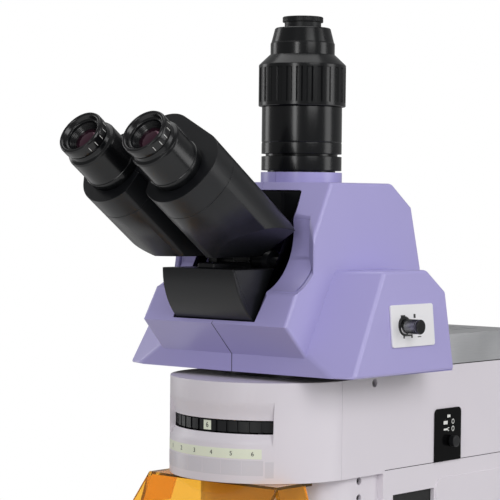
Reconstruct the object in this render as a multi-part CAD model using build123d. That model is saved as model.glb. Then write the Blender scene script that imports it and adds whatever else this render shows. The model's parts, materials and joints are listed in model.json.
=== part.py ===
from build123d import *
import os
from math import acos, asin, atan2, cos, degrees, pi, radians, sin, sqrt, tan

# Upright fluorescence microscope with a tilting trinocular head.
# Millimetres. +Z up, table at z = 0, optical axis at x = y = 0, the user sits at -Y, right is +X.

# Fits shared by all pieces
running = 0.05  # radial clearance of a shaft in its bore
gap = 0.3  # air between pieces that slide or swing past each other
seam = 0.15  # half the parting line between the two halves of the head cover

# Stand
foot_height = 8.0
foot_radius = 15.0
plate_thickness = 3.0
base_height = 47.0
base_front = -150.0
base_rear = 196.0
base_half_width = 98.0
base_corner = 32.0
base_nose_drop = 12.0  # how far the top of the base falls towards the user
column_front = 100.0
column_rear = 190.0
column_half_width = 57.0
column_flare = 10.0  # extra half width of the column at the arm
arm_bottom = 262.0
arm_top = 317.0
arm_half_width = 73.5
arm_rear = 198.0
nose_front = -62.0
nose_half_width = 68.5
nose_back = 12.0  # where the inset nose meets the flush side of the arm
nose_top = 315.0
nose_corner = 42.0

# Epi-illuminator
drum_centre = -40.2
drum_radius = 73.5
drum_wall = 4.6
drum_top = 389.0
drum_lid = 3.0
groove_half_angle = 44.0
groove_top = 375.0
groove_bottom = 343.0
groove_depth = 3.6
slot_top = 361.0
slot_bottom = 351.0
slot_lip = 3.0
body_rear = 205.0
body_step = 4.0  # the rear of the illuminator stands this much higher than the drum
body_step_from = 64.0
light_height = 356.0
light_bore = 8.0
lamp_bay_from = 128.0
lamp_bay_to = 190.0
lamp_bay_half_width = 40.0
lamp_cover_height = 24.0
lamp_cover_from = 74.0
lamp_cover_wall = 1.5
panel_from = 79.0
panel_to = 115.0
panel_top = 359.0
panel_thickness = 1.5
shutter_y = 100.6
shutter_z = 332.7
shutter_knob_radius = 4.6
shutter_knob_length = 11.0
shutter_travel = 18.0
shutter_rod = 2.0

# Filter turret
turret_rim = 68.1
turret_rim_width = 8.0
turret_axle = 6.0
turret_notches = 48
cube_count = 6
cube_size = 26.0
cube_height = 36.0
cube_circle = 40.2

# Head cover
cover_wall = 3.0
cover_bottom = 394.0
cover_top = 536.2
hood_half_width_top = 65.0
hood_half_width_low = 70.0
hood_front_top = -46.0
ledge_y = -104.6
ledge_z = 431.0
undercut_y = -77.3
undercut_z = 403.5
lip_y = -81.2
hood_rear_top = 31.0
hood_rear_chamfer = (56.0, 518.0)
hood_rear_low = 66.0
bump_half_width_top = 103.0
bump_half_width_low = 110.0
bump_top = 471.0
bump_rear_top = 25.0
bump_rear_shoulder = (48.0, 454.0)
bump_rear_low = 53.0
port_ring_radius = 31.6
port_ring_top = 544.3
port_tube_radius = 26.4
port_bore = 19.0
mouth_half_width = 40.0
mouth_top = 529.7
mouth_low = 433.6
pocket_half_width = 57.0
pocket_radius = 47.5  # hollow round the rear ends of the eyepiece arms
pocket_y = -106.0
pocket_z = 500.0
pocket_flare = 1.29  # widening of each side per millimetre towards the user
head_plate_bottom = 396.5
head_plate_thickness = 6.0
dovetail_radius = 58.0
head_bore = 20.0
switch_plate_length = 54.0
switch_plate_height = 31.5
switch_plate_z = 430.2
switch_plate_thickness = 1.6
switch_y = -11.5
switch_knob_radius = 5.1
switch_knob_length = 19.0
switch_neck_radius = 3.6
switch_reach = 25.0  # how far the knob's tip stands out of the plate
switch_travel = 18.0

# Binocular
incline = 35.0  # of the eyepieces at rest
tilt_down = 30.0
pivot_y = -65.8
pivot_z = 476.4
pivot_pin = 4.0
shroud_radius = 55.8
shroud_wall = 4.0
shroud_top = 472.0
shroud_low = 434.0
shroud_half_width_top = 34.8
shroud_half_width_low = 37.9
cheek_wall = 5.0
eye_spacing = 61.2
eye_spacing_min = 50.0
eye_spacing_max = 75.0
rim_y = -213.6
rim_z = 569.5
hinge_offset = 23.4  # interpupillary hinge above the plane of the eyepieces
hinge_radius = 8.0
arm_radius = 28.5
arm_crown_radius = 28.0
arm_hinge_radius = 26.5
cap_from = 45.0  # distances down the eyepiece axis from its rim
cap_to = 65.0
lobe_ends = (59.0, 92.0, 125.0)  # where the hinge lobe passes from one arm to the other
arm_rear_plane = -76.0  # clears the head cover while the arms swing open
arm_underside = 480.5
arm_rear_round = 8.0
neck_room = 4.5  # between the arms' rear ends and the neck of the bracket
eye_ring_radius = 18.05
eye_ring_length = 9.0
eye_barrel_radius = 19.8
eye_collar_radius = 20.4
eye_neck_radius = 13.6
eye_plug_radius = 11.0
eye_plug_depth = 14.0
lens_radius = 12.3

# Camera adapter on the vertical port
collar_radius = 31.2
collar_bottom = 545.7
collar_top = 556.6
band_bottom = 558.6
band_top = 567.4
ring_bottom = 595.3
ring_top = 627.9
ring_radius = 33.9
ring_flutes = 28
flute_depth = 1.1
shoulder_top = 635.4
throat_radius = 25.0
throat_top = 644.7
cone_radius = 21.7
cone_top = 656.3
mount_radius = 12.7  # the camera thread under the dust cap
cap_neck_radius = 14.2
cap_radius = 15.8
cap_height = 8.7  # of the dust cap above the end of the thread
cap_flange = 4.2
throat_lift = 1.2

# Stage, condenser and focus
stage_top = 180.0
stage_width = 187.0
stage_depth = 166.0
stage_back = 70.0
upper_plate = 7.0
lower_plate = 6.0
lower_plate_half_width = 62.0
stage_travel_x = 39.0
stage_travel_y = 27.0
focus_up = 6.0
focus_down = 20.0
carrier_thickness = 10.0
carrier_half_width = 54.0
carrier_hole = 36.0
rail_half_width = 20.0
rail_depth = 20.0
rail_low = 84.0
rail_high = 166.0
knob_z = 100.0
rack_teeth = 14
gear_module = 1.0
gear_teeth = 12
gear_width = 14.0
rack_addendum = 0.65
pinion_addendum = 0.8
tooth_backlash = 0.10
coarse_radius = 29.0
coarse_length = 22.0
coarse_shaft = 5.0
fine_radius = 17.0
fine_length = 16.0
fine_shaft = 3.0
drive_x = 80.0
drive_y = 30.0
drive_y_knob_radius = 13.0
drive_x_knob_radius = 11.0
drive_knob_length = 16.0
drive_shaft = 5.0
drive_inner_shaft = 2.5
drive_drop = 36.0
condenser_travel = 22.0
condenser_radius = 30.0
condenser_bottom = 134.0
condenser_lens_radius = 14.0
condenser_ring_wall = 5.0
condenser_knob_radius = 9.0
condenser_knob_length = 13.0

# Nosepiece and objectives
shoulder_z = 233.0
nosepiece_tilt = 15.0
objective_circle = 26.0
nosepiece_radius = 41.0
nosepiece_thickness = 13.0
nose_spindle = 12.0
objective_lengths = (26.0, 36.0, 42.5, 44.3, 44.6)
objective_radius = 12.0
objective_thread = 10.0

# Base optics and controls
field_boss_radius = 27.0
field_boss_top = 78.0
field_ring_radius = 30.0
field_ring_height = 9.0
field_lens_radius = 20.0
dial_radius = 13.0
dial_length = 9.0
dial_y = -60.0
dial_z = 34.0
rocker_length = 20.6
rocker_height = 13.0
rocker_y = 150.0
rocker_depth = 5.5  # of its pin behind the side of the base
rocker_pin = 1.5
inlet_width = 27.0
inlet_height = 20.0
inlet_z = 36.0

# Amber shield
shield_thickness = 3.0
shield_half_width = 63.0
shield_front = -103.0
shield_slope = 48.0
shield_drop = 70.0
shield_flap = 26.0
shield_flap_lean = 18.0

# Derived sizes
base_bottom = foot_height + plate_thickness
base_top = base_bottom + base_height
pitch_radius = gear_module * gear_teeth / 2
rack_line = column_front + rail_depth
pinion_y = rack_line + pitch_radius
eye_arm = sqrt((eye_spacing / 2) ** 2 + hinge_offset ** 2)
rest_angle = degrees(asin(eye_spacing / 2 / eye_arm))
close_angle = rest_angle - degrees(asin(eye_spacing_min / 2 / eye_arm))
open_angle = degrees(asin(eye_spacing_max / 2 / eye_arm)) - rest_angle
body_top = drum_top + body_step
cap_top = cone_top + cap_height
tilt_axis = Axis((0, pivot_y, pivot_z), (1, 0, 0))
turret_axis = Axis((0, drum_centre, 0), (0, 0, 1))
apex_z = shoulder_z + objective_circle / sin(radians(nosepiece_tilt))
nosepiece_plane = Plane(
    origin=(0, 0, apex_z),
    x_dir=(1, 0, 0),
    z_dir=(0, sin(radians(nosepiece_tilt)), -cos(radians(nosepiece_tilt))),
)
seat_depth = objective_circle / tan(radians(nosepiece_tilt))
eye_plane = Plane(
    origin=(0, rim_y, rim_z),
    x_dir=(1, 0, 0),
    z_dir=(0, -cos(radians(incline)), sin(radians(incline))),
)

nodes = {}


def keep(name, *solids):
    nodes[name] = solids[0] if len(solids) == 1 else Compound(children=list(solids))


def outline(*points):
    return make_face(Polyline(*points, close=True))


def slab_x(points, x0, x1):
    """A (y, z) outline carried along X from x0 to x1."""
    return extrude(Plane.YZ.offset(x0) * outline(*points), amount=x1 - x0)


def slab_y(points, y0, y1):
    """An (x, z) outline carried along Y from y0 to y1."""
    return extrude(Plane.XZ.offset(-y0) * outline(*points), amount=-(y1 - y0))


def slab_z(points, z0, z1):
    """An (x, y) outline carried along Z from z0 to z1."""
    return extrude(Plane.XY.offset(z0) * outline(*points), amount=z1 - z0)


def block(x0, x1, y0, y1, z0, z1):
    return Pos((x0 + x1) / 2, (y0 + y1) / 2, (z0 + z1) / 2) * Box(x1 - x0, y1 - y0, z1 - z0)


def rod(radius, start, end):
    """A cylinder between two points."""
    line = Vector(*end) - Vector(*start)
    return Solid.make_cylinder(radius, line.length, Plane(origin=start, z_dir=line))


def turned(*points):
    """An (r, z) outline turned round the Z axis."""
    return revolve(Plane.XZ * outline(*points), Axis.Z)


def mirrored(shape):
    return mirror(shape, about=Plane.YZ)


def fluted(shape, radius, depth, width, count, z0, z1):
    """Straight flutes cut round a turned piece."""
    cutter = Pos(radius, 0, (z0 + z1) / 2) * Box(2 * depth, width, z1 - z0)
    for index in range(count):
        shape -= Rot(0, 0, 360 / count * index) * cutter
    return shape


# Stand


def rocker_pin_rod(radius, extra):
    x = -base_half_width + rocker_depth
    reach = rocker_height / 2 + 3 + extra
    return rod(radius, (x, rocker_y, dial_z - reach), (x, rocker_y, dial_z + reach))


def make_base():
    nose_z = base_top - base_nose_drop
    side = [
        (base_front, base_bottom),
        (base_rear, base_bottom),
        (base_rear, base_top),
        (field_boss_radius + 20, base_top),
        (base_front, nose_z),
    ]
    plan = Pos(0, (base_front + base_rear) / 2) * RectangleRounded(
        2 * base_half_width, base_rear - base_front, base_corner
    )
    body = slab_x(side, -base_half_width, base_half_width) & extrude(plan, amount=base_top + 1)
    body += rod(field_boss_radius, (0, 0, base_top - base_nose_drop), (0, 0, field_boss_top))
    body -= rod(field_lens_radius, (0, 0, field_boss_top - 6), (0, 0, field_boss_top + 1))
    body -= rod(4.0 + running, (base_half_width - 14, dial_y, dial_z), (base_half_width + 1, dial_y, dial_z))
    rocker_room = rocker_length / 2 + 2 * gap
    body -= block(
        -base_half_width - 1, -base_half_width + rocker_depth + 7, rocker_y - rocker_room, rocker_y + rocker_room,
        dial_z - rocker_height / 2 - gap, dial_z + rocker_height / 2 + gap,
    )
    body -= rocker_pin_rod(rocker_pin + running, 1.0)
    body -= block(
        -inlet_width / 2 - 2, inlet_width / 2 + 2, base_rear - 24, base_rear + 1,
        inlet_z - inlet_height / 2 - 2, inlet_z + inlet_height / 2 + 2,
    )
    body -= block(-12, 12, column_front, pinion_y + 12, base_top - 10, base_top + 1)
    keep("stand_base", body)

    plate = slab_z(
        [(-base_half_width + 6, base_front + 24), (-base_half_width + 30, base_front + 6),
         (base_half_width - 30, base_front + 6), (base_half_width - 6, base_front + 24),
         (base_half_width - 6, base_rear - 24), (base_half_width - 30, base_rear - 6),
         (-base_half_width + 30, base_rear - 6), (-base_half_width + 6, base_rear - 24)],
        foot_height, base_bottom,
    )
    keep("bottom_plate", plate)

    feet = []
    for x in (-base_half_width + 30, base_half_width - 30):
        for y in (base_front + 34, base_rear - 34):
            feet.append(Pos(x, y, 0) * turned((0, 0), (foot_radius - 3, 0), (foot_radius, foot_height), (0, foot_height)))
    keep("rubber_feet", *feet)


def make_column():
    wide = column_half_width + column_flare
    front_view = [
        (-column_half_width, base_top), (column_half_width, base_top),
        (column_half_width, knob_z + 60), (wide, arm_bottom), (-wide, arm_bottom), (-column_half_width, knob_z + 60),
    ]
    body = slab_y(front_view, column_front, column_rear)
    body = fillet(body.edges().filter_by(Axis.Z).group_by(Axis.Y)[-1], 14)
    channel = rail_half_width + gap
    body -= block(
        -channel, channel, column_front - 1, rack_line + rack_addendum + gap,
        base_top - 1, rail_high + focus_up + 12,
    )
    well = pitch_radius + pinion_addendum + gap
    body -= rod(well, (-gear_width / 2 - gap, pinion_y, knob_z), (gear_width / 2 + gap, pinion_y, knob_z))
    body -= block(-gear_width / 2 - gap, gear_width / 2 + gap, rack_line - 1, pinion_y, knob_z - well, knob_z + well)
    body -= rod(coarse_shaft + running, (-wide, pinion_y, knob_z), (wide, pinion_y, knob_z))
    keep("column", body)


def make_arm():
    flank = slab_z(
        [(-arm_half_width, nose_back), (arm_half_width, nose_back),
         (arm_half_width, arm_rear), (-arm_half_width, arm_rear)],
        arm_bottom, arm_top,
    )
    flank = fillet(flank.edges().filter_by(Axis.Z).group_by(Axis.Y)[-1], 12)
    nose = slab_z(
        [(-nose_half_width, nose_front), (nose_half_width, nose_front),
         (nose_half_width, nose_back), (-nose_half_width, nose_back)],
        arm_bottom + 6, nose_top,
    )
    nose = fillet(nose.edges().filter_by(Axis.Z).group_by(Axis.Y)[0], nose_corner)
    body = flank + nose
    body -= block(-nose_half_width - 10, nose_half_width + 10, nose_front - 1, nose_back, nose_top, arm_top + 1)
    for z in (arm_top - 6, arm_top - 19):
        for side in (-1, 1):
            body -= rod(3.0, (side * (nose_half_width - 12), nose_back - 24, z), (side * (nose_half_width + 6), nose_back - 24, z))
    for side in (-1, 1):
        body -= block(
            min(side * (arm_half_width - 4), side * (arm_half_width + 1)),
            max(side * (arm_half_width - 4), side * (arm_half_width + 1)),
            nose_back + 13, nose_back + 68, arm_top - 32, arm_top - 20,
        )
    body -= rod(15.0, (0, 0, arm_bottom - 1), (0, 0, arm_top + 1))
    seat = nosepiece_plane.location * rod(nosepiece_radius - 3, (0, 0, -60), (0, 0, seat_depth - nosepiece_thickness - gap))
    spindle = nosepiece_plane.location * rod(
        nose_spindle, (0, 0, seat_depth - nosepiece_thickness - 2), (0, 0, seat_depth - 3)
    )
    window = block(-nose_half_width, nose_half_width, -40, nose_half_width, 200, arm_bottom + 6)
    body += seat & window
    body += spindle
    body -= rod(13.0, (0, 0, 200), (0, 0, arm_top + 1)) & block(-14, 14, -14, 12.5, 200, arm_top + 1)
    # room for the nosepiece to turn under the arm
    swing = rod(nosepiece_radius + 2, (0, 0, seat_depth - nosepiece_thickness - gap), (0, 0, seat_depth + 20))
    swing -= rod(nose_spindle, (0, 0, 0), (0, 0, seat_depth - 3))
    body -= nosepiece_plane.location * swing
    keep("arm", body)


# Epi-illuminator


def drum_ring(inner, outer, z0, z1):
    ring = rod(outer, (0, drum_centre, z0), (0, drum_centre, z1))
    if inner > 0:
        ring -= rod(inner, (0, drum_centre, z0 - 1), (0, drum_centre, z1 + 1))
    return ring


def make_illuminator():
    inner = drum_radius - drum_wall
    floor_top = nose_top + 6
    ceiling = drum_top - drum_lid - 4
    front = block(-drum_radius, drum_radius, drum_centre - drum_radius - 1, drum_centre, nose_top - 1, drum_top + 1)
    body = block(-arm_half_width, arm_half_width, drum_centre, body_rear, arm_top, drum_top)
    body += block(-arm_half_width, arm_half_width, drum_centre, nose_back, nose_top, arm_top)
    body = fillet(body.edges().filter_by(Axis.Z).group_by(Axis.Y)[-1], 12)
    raised = block(-arm_half_width, arm_half_width, body_step_from, body_rear, drum_top, body_top)
    body += fillet(raised.edges().filter_by(Axis.Z).group_by(Axis.Y)[-1], 12)
    body += front & drum_ring(0, inner - gap, nose_top, floor_top)
    body += front & drum_ring(0, inner - gap, ceiling, drum_top - drum_lid)
    body -= drum_ring(0, inner, floor_top, ceiling)
    body += rod(turret_axle, (0, drum_centre, floor_top), (0, drum_centre, ceiling))
    body -= rod(15.0, (0, 0, nose_top - 1), (0, 0, drum_top + 1))
    body -= rod(light_bore, (0, 0, light_height), (0, lamp_bay_from + 1, light_height))
    body -= block(
        -lamp_bay_half_width, lamp_bay_half_width, lamp_bay_from, lamp_bay_to, arm_top + 8, body_top + 1
    )
    body -= rod(shutter_rod + running, (10, shutter_y, shutter_z), (arm_half_width + 1, shutter_y, shutter_z))
    body -= block(
        -shutter_travel - 13, shutter_travel + 14, shutter_y - 1.3, shutter_y + 1.3,
        shutter_z - 3, light_height + light_bore + 3,
    )
    for side in (-1, 1):
        body -= rod(3.2, (side * (arm_half_width - 14), 0, drum_top - 4), (side * (arm_half_width + 1), 0, drum_top - 4))
    keep("illuminator_body", body)

    cover = front & drum_ring(inner, drum_radius, nose_top, drum_top)
    cover += front & drum_ring(0, inner, drum_top - drum_lid, drum_top)
    lip = drum_radius - groove_depth
    edge = drum_radius + 1
    groove = Plane.XZ * outline(
        (edge, groove_top + 0.4), (drum_radius, groove_top), (lip, slot_top + slot_lip),
        (lip, slot_bottom - 1), (drum_radius, groove_bottom), (edge, groove_bottom - 0.4),
    )
    slot = Plane.XZ * outline((inner - 5, slot_bottom), (edge, slot_bottom), (edge, slot_top), (inner - 5, slot_top))
    for face in (groove, slot):
        sweep_cut = revolve(face, Axis.Z, revolution_arc=2 * groove_half_angle)
        cover -= Pos(0, drum_centre, 0) * Rot(0, 0, -90 - groove_half_angle) * sweep_cut
    keep("drum_cover", cover)

    wheel = rod(turret_rim, (0, 0, -turret_rim_width / 2), (0, 0, turret_rim_width / 2))
    wheel = fluted(wheel, turret_rim, 1.2, 2.2, turret_notches, -turret_rim_width, turret_rim_width)
    wheel -= rod(turret_rim - 6, (0, 0, -turret_rim_width / 2 + 3), (0, 0, turret_rim_width / 2 + 1))
    wheel += rod(turret_axle + 6, (0, 0, -turret_rim_width), (0, 0, turret_rim_width))
    wheel -= rod(turret_axle + running, (0, 0, -20), (0, 0, 20))
    cubes = []
    half = cube_size / 2
    for index in range(cube_count):
        turn = Rot(0, 0, 90 + 360 / cube_count * index)
        wheel -= turn * Pos(cube_circle, 0, 0) * Box(cube_size, cube_size, 30)
        cube = block(cube_circle - half, cube_circle + half, -half, half, -cube_height / 2, cube_height / 2)
        cube = chamfer(cube.edges().filter_by(Axis.Z), 2)
        cube -= rod(half - 3, (cube_circle, 0, -30), (cube_circle, 0, 30))
        cube -= rod(light_bore + 1, (cube_circle, 0, 0), (cube_circle + half + 1, 0, 0))
        cubes.append(turn * cube)
    place = Pos(0, drum_centre, light_height)
    keep("turret_wheel", place * wheel)
    keep("filter_cubes", *[place * cube for cube in cubes])

    panel = block(arm_half_width, arm_half_width + panel_thickness, panel_from, panel_to, arm_top, panel_top)
    panel = fillet(panel.edges().filter_by(Axis.X).group_by(Axis.Z)[-1], 4)
    panel -= rod(shutter_rod + 0.5, (0, shutter_y, shutter_z), (arm_half_width + 5, shutter_y, shutter_z))
    keep("control_panel", panel)

    start = arm_half_width + panel_thickness + 1
    shutter = rod(shutter_rod, (12, shutter_y, shutter_z), (start + 2, shutter_y, shutter_z))
    knob = rod(shutter_knob_radius, (start, shutter_y, shutter_z), (start + shutter_knob_length, shutter_y, shutter_z))
    shutter += chamfer(knob.edges().filter_by(GeomType.CIRCLE).group_by(Axis.X)[-1], 0.8)
    blade = block(
        -shutter_travel - 11, 13, shutter_y - 0.9, shutter_y + 0.9, shutter_z - 2, light_height + light_bore + 2
    )
    blade -= rod(light_bore, (0, shutter_y - 5, light_height), (0, shutter_y + 5, light_height))
    keep("shutter_slider", shutter + blade)

    low = body_top + 0.5
    high = low + lamp_cover_height
    lid = block(-arm_half_width + 0.5, arm_half_width - 0.5, lamp_cover_from, body_rear, low, high)
    lid = fillet(lid.edges().filter_by(Axis.Z), 5)
    shell = block(
        -arm_half_width + 0.5 + lamp_cover_wall, arm_half_width - 0.5 - lamp_cover_wall,
        lamp_cover_from + lamp_cover_wall, body_rear - lamp_cover_wall, low - 1, high - lamp_cover_wall,
    )
    lid -= shell
    for index in range(9):
        x = (index - 4) * 11.0
        lid -= block(x - 1.5, x + 1.5, body_rear - 60, body_rear - 22, high - 5, high + 1)
    lid += block(-30, 30, lamp_cover_from + 1, lamp_cover_from + 9, body_top, low + 3)
    lid += block(-30, 30, body_rear - 9, body_rear - 1, body_top, low + 3)
    keep("lamp_cover", lid)

    sink = block(-30, 30, lamp_bay_from + 8, lamp_bay_to - 6, arm_top + 8, arm_top + 62)
    for index in range(9):
        x = (index - 4) * 6.4
        sink -= block(x - 1.8, x + 1.8, lamp_bay_from + 20, lamp_bay_to, arm_top + 14, arm_top + 63)
    sink += rod(14, (0, lamp_bay_from + 3, light_height), (0, lamp_bay_from + 9, light_height))
    keep("led_lamp", sink)


# Head cover and its frame


def hood_profile():
    return outline(
        (hood_front_top, cover_top), (ledge_y, ledge_z), (undercut_y, undercut_z), (lip_y, cover_bottom),
        (lip_y, cover_bottom - 40), (hood_rear_low, cover_bottom - 40), (hood_rear_low, bump_top),
        hood_rear_chamfer, (hood_rear_top, cover_top),
    )


def bump_profile():
    return outline(
        (lip_y, bump_top), (lip_y, cover_bottom - 40), (bump_rear_low, cover_bottom - 40), (bump_rear_low, cover_bottom),
        bump_rear_shoulder, (bump_rear_top, bump_top),
    )


def head_form(inset):
    """The outside of the head cover, or with an inset the space inside its walls."""
    low = cover_bottom - 40
    lean = (hood_half_width_low - hood_half_width_top) / (cover_top - ledge_z)
    low_width = hood_half_width_low + lean * (ledge_z - low)
    hood = extrude(Plane.YZ * offset(hood_profile(), -inset, kind=Kind.INTERSECTION), amount=90, both=True)
    hood &= slab_y(
        [(-low_width + inset, low), (low_width - inset, low), (hood_half_width_top - inset, cover_top + 5),
         (-hood_half_width_top + inset, cover_top + 5)],
        -150, 150,
    )
    draft = (bump_half_width_low - bump_half_width_top) / (bump_top - cover_bottom)
    wide = bump_half_width_low + draft * 40
    bumps = extrude(Plane.YZ * offset(bump_profile(), -inset, kind=Kind.INTERSECTION), amount=130, both=True)
    bumps &= slab_y(
        [(-wide + inset, low), (wide - inset, low), (bump_half_width_top - inset, bump_top),
         (-bump_half_width_top + inset, bump_top)],
        -150, 150,
    )
    # the front of each side housing leans back and turns outwards
    front = Plane(origin=(hood_half_width_low, -46, 467), z_dir=(-0.335, 0.796, -0.503))
    keep_side = front.offset(inset).location * Pos(0, 0, 200) * Box(600, 600, 400)
    right = bumps & block(0, 130, -150, 150, low, bump_top) & keep_side
    bumps = right + mirrored(right)
    return hood + bumps


def make_head_cover():
    outer = head_form(0) & block(-130, 130, -150, 150, cover_bottom, cover_top + 1)
    cavity = head_form(cover_wall)
    slab = block(-130, 130, -150, 150, head_plate_bottom, head_plate_bottom + head_plate_thickness)
    plate = cavity & slab
    plate -= block(-mouth_half_width, mouth_half_width, -150, pivot_y + 8, head_plate_bottom - 1, 420)
    plate += rod(dovetail_radius, (0, 0, drum_top), (0, 0, head_plate_bottom + 1))
    plate -= rod(head_bore, (0, 0, drum_top - 1), (0, 0, 420))
    keep("head_base", plate)

    body = outer - cavity
    ring = rod(port_ring_radius, (0, 0, cover_top - cover_wall), (0, 0, port_ring_top))
    body += ring
    body -= rod(port_tube_radius + 0.4, (0, 0, cover_top - 10), (0, 0, port_ring_top + 1))
    # concave pocket round the ends of the eyepiece arms, opening wider towards the front
    reach = bump_half_width_top
    pocket = rod(pocket_radius, (-reach, pocket_y, pocket_z), (reach, pocket_y, pocket_z))
    depth = 40.0
    spread = depth * pocket_flare
    widest = pivot_y + 4
    pocket &= slab_z(
        [(-pocket_half_width, 0), (-pocket_half_width, widest), (-pocket_half_width - spread, widest - depth),
         (pocket_half_width + spread, widest - depth), (pocket_half_width, widest), (pocket_half_width, 0)],
        pocket_z - pocket_radius, pocket_z + pocket_radius,
    )
    inside = hood_half_width_top - 1
    backing = rod(pocket_radius + cover_wall, (-inside, pocket_y, pocket_z), (inside, pocket_y, pocket_z))
    backing &= head_form(1.0)
    body = body + backing - pocket
    body -= block(-mouth_half_width, mouth_half_width, -150, -40, mouth_low, mouth_top)
    reach = shroud_half_width_low + 1.0
    body -= rod(shroud_radius + 0.7, (-reach, pivot_y, pivot_z), (reach, pivot_y, pivot_z))
    hole = switch_neck_radius + 3.5
    body -= rod(hole, (bump_half_width_top - 12, switch_y, switch_plate_z), (130, switch_y, switch_plate_z))
    right = body & block(seam, 130, -150, 150, 380, 560)
    left = body & block(-130, -seam, -150, 150, 380, 560)
    keep("head_cover_right", right)
    keep("head_cover_left", left)


def wall_x(z):
    """Outer face of the side housing at height z."""
    draft = (bump_half_width_low - bump_half_width_top) / (bump_top - cover_bottom)
    return bump_half_width_top + draft * (bump_top - z)


def make_head_inside():
    floor = head_plate_bottom + head_plate_thickness
    top = 506.0
    side_x = 53.0
    frame = block(-side_x - 4, side_x + 4, -44, 30, floor, floor + 4)
    frame -= rod(head_bore, (0, 0, 380), (0, 0, 420))
    for side in (-1, 1):
        frame += block(min(side * side_x, side * (side_x + 4)), max(side * side_x, side * (side_x + 4)), -18, 30, floor, top)
        frame += block(min(side * 22, side * 27), max(side * 22, side * 27), -44, -22, floor, floor + 12)
        arm = slab_x(
            [(pivot_y - 6, pivot_z - 5), (pivot_y + 8, pivot_z + 2), (-22, floor + 4), (-44, floor + 4)], 22, 27
        )
        arm += rod(8.5, (22, pivot_y, pivot_z), (27, pivot_y, pivot_z))
        frame += arm if side > 0 else mirrored(arm)
    frame += rod(pivot_pin, (-shroud_half_width_top + 0.5, pivot_y, pivot_z), (shroud_half_width_top - 0.5, pivot_y, pivot_z))
    frame += block(-side_x - 4, side_x + 4, -46, 40, top, top + 6)
    frame += block(-mouth_half_width + gap, mouth_half_width - gap, -50, -46, top, mouth_top - gap)
    frame += block(-24, 24, -54, -50, top + 2, mouth_top - gap - 1)
    frame -= rod(port_bore, (0, 0, top - 1), (0, 0, top + 7))
    frame += block(-36, 46, -17, 17, floor + 4, floor + 10) - rod(head_bore - 4, (0, 0, 380), (0, 0, 420))
    frame -= rod(switch_neck_radius + 1, (40, switch_y, switch_plate_z), (70, switch_y, switch_plate_z))
    keep("head_frame", frame)

    tube = turned(
        (port_bore, top + 6), (port_tube_radius, top + 6), (port_tube_radius, collar_bottom),
        (collar_radius, collar_bottom), (collar_radius, collar_top), (port_bore, collar_top),
    )
    keep("port_collar", tube)

    x_mid = wall_x(switch_plate_z)
    lean = degrees(atan2(bump_half_width_low - bump_half_width_top, bump_top - cover_bottom))
    plate_plane = Location((x_mid, 0, switch_plate_z), (0, -lean, 0))
    plate = Pos(switch_plate_thickness / 2, 0, 0) * Box(switch_plate_thickness, switch_plate_length, switch_plate_height)
    plate = fillet(plate.edges().filter_by(Axis.X), 2)
    plate += rod(6.0, (0, switch_y, 0), (switch_plate_thickness + 1.2, switch_y, 0))
    plate -= rod(switch_neck_radius + 1.2, (-1, switch_y, 0), (10, switch_y, 0))
    keep("switch_plate", plate_plane * plate)

    carriage_low = floor + 10 + gap
    rail = block(-20, 20, -15, 15, carriage_low, carriage_low + 34)
    rail -= block(-17, 17, -16, 12, carriage_low + 2, carriage_low + 32)
    tip = x_mid + switch_reach
    rail += rod(switch_neck_radius, (18, switch_y, switch_plate_z), (tip - switch_knob_length + 1, switch_y, switch_plate_z))
    knob = rod(switch_knob_radius, (tip - switch_knob_length, switch_y, switch_plate_z), (tip, switch_y, switch_plate_z))
    knob = chamfer(knob.edges().filter_by(GeomType.CIRCLE), 0.7)
    rail += knob
    rail -= rod(13, (0, 0, 380), (0, 0, carriage_low + 33))
    keep("switch_slider", rail)
    prism = slab_x([(12, carriage_low + 2), (12, carriage_low + 32), (-14, carriage_low + 32), (-14, carriage_low + 28)], -17, 17)
    prism -= rod(13, (0, 0, 380), (0, 0, carriage_low - 1))
    keep("beam_prism", prism)


# Tilting binocular


def make_tilt_bracket():
    top_y = pivot_y - sqrt(shroud_radius ** 2 - (shroud_top - pivot_z) ** 2)
    low_turn = 240.0
    spokes = [(pivot_y + shroud_radius * cos(radians(t)), pivot_z + shroud_radius * sin(radians(t))) for t in (184.6, 212, low_turn)]
    arc = ThreePointArc(*spokes)
    path = Polyline(spokes[2], (pivot_y, pivot_z - 10), (pivot_y + 9, pivot_z - 8), (pivot_y + 9, shroud_top), (top_y, shroud_top))
    close_line = Polyline((top_y, shroud_top), spokes[0])
    profile = make_face([arc] + path.edges() + close_line.edges())
    body = extrude(Plane.YZ * profile, amount=60, both=True)
    slope = (shroud_half_width_low - shroud_half_width_top) / (shroud_top - shroud_low)
    low_z = 400.0
    low = shroud_half_width_low + slope * (shroud_low - low_z)
    high = shroud_half_width_top
    body &= slab_y([(-low, low_z), (low, low_z), (high, shroud_top), (-high, shroud_top)], -140, 0)
    inner = shroud_half_width_top - cheek_wall
    hollow = rod(shroud_radius - shroud_wall, (-inner, pivot_y, pivot_z), (inner, pivot_y, pivot_z))
    hollow &= block(-inner, inner, -140, 20, 380, shroud_top - 4)
    hollow += block(-inner, inner, pivot_y - 10.5, pivot_y + 30, pivot_z - 40, shroud_top + 1)
    body -= hollow
    # the neck carries the hinge hub, clear of the arms' rear ends as they swing
    neck_front = arm_rear_plane + neck_room
    body += slab_x(
        [(-112, shroud_top - 4), (-112, shroud_top + 4), (neck_front, shroud_top + 4), (neck_front + 1, 506),
         (-57, 499), (-57, shroud_top - 4)], -hinge_radius, hinge_radius,
    )
    body -= rod(pivot_pin + running, (-60, pivot_y, pivot_z), (60, pivot_y, pivot_z))
    hub = rod(hinge_radius, (0, hinge_offset, -168), (0, hinge_offset, -cap_from - 4))
    body += eye_plane.location * hub
    keep("tilt_bracket", body)


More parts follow.
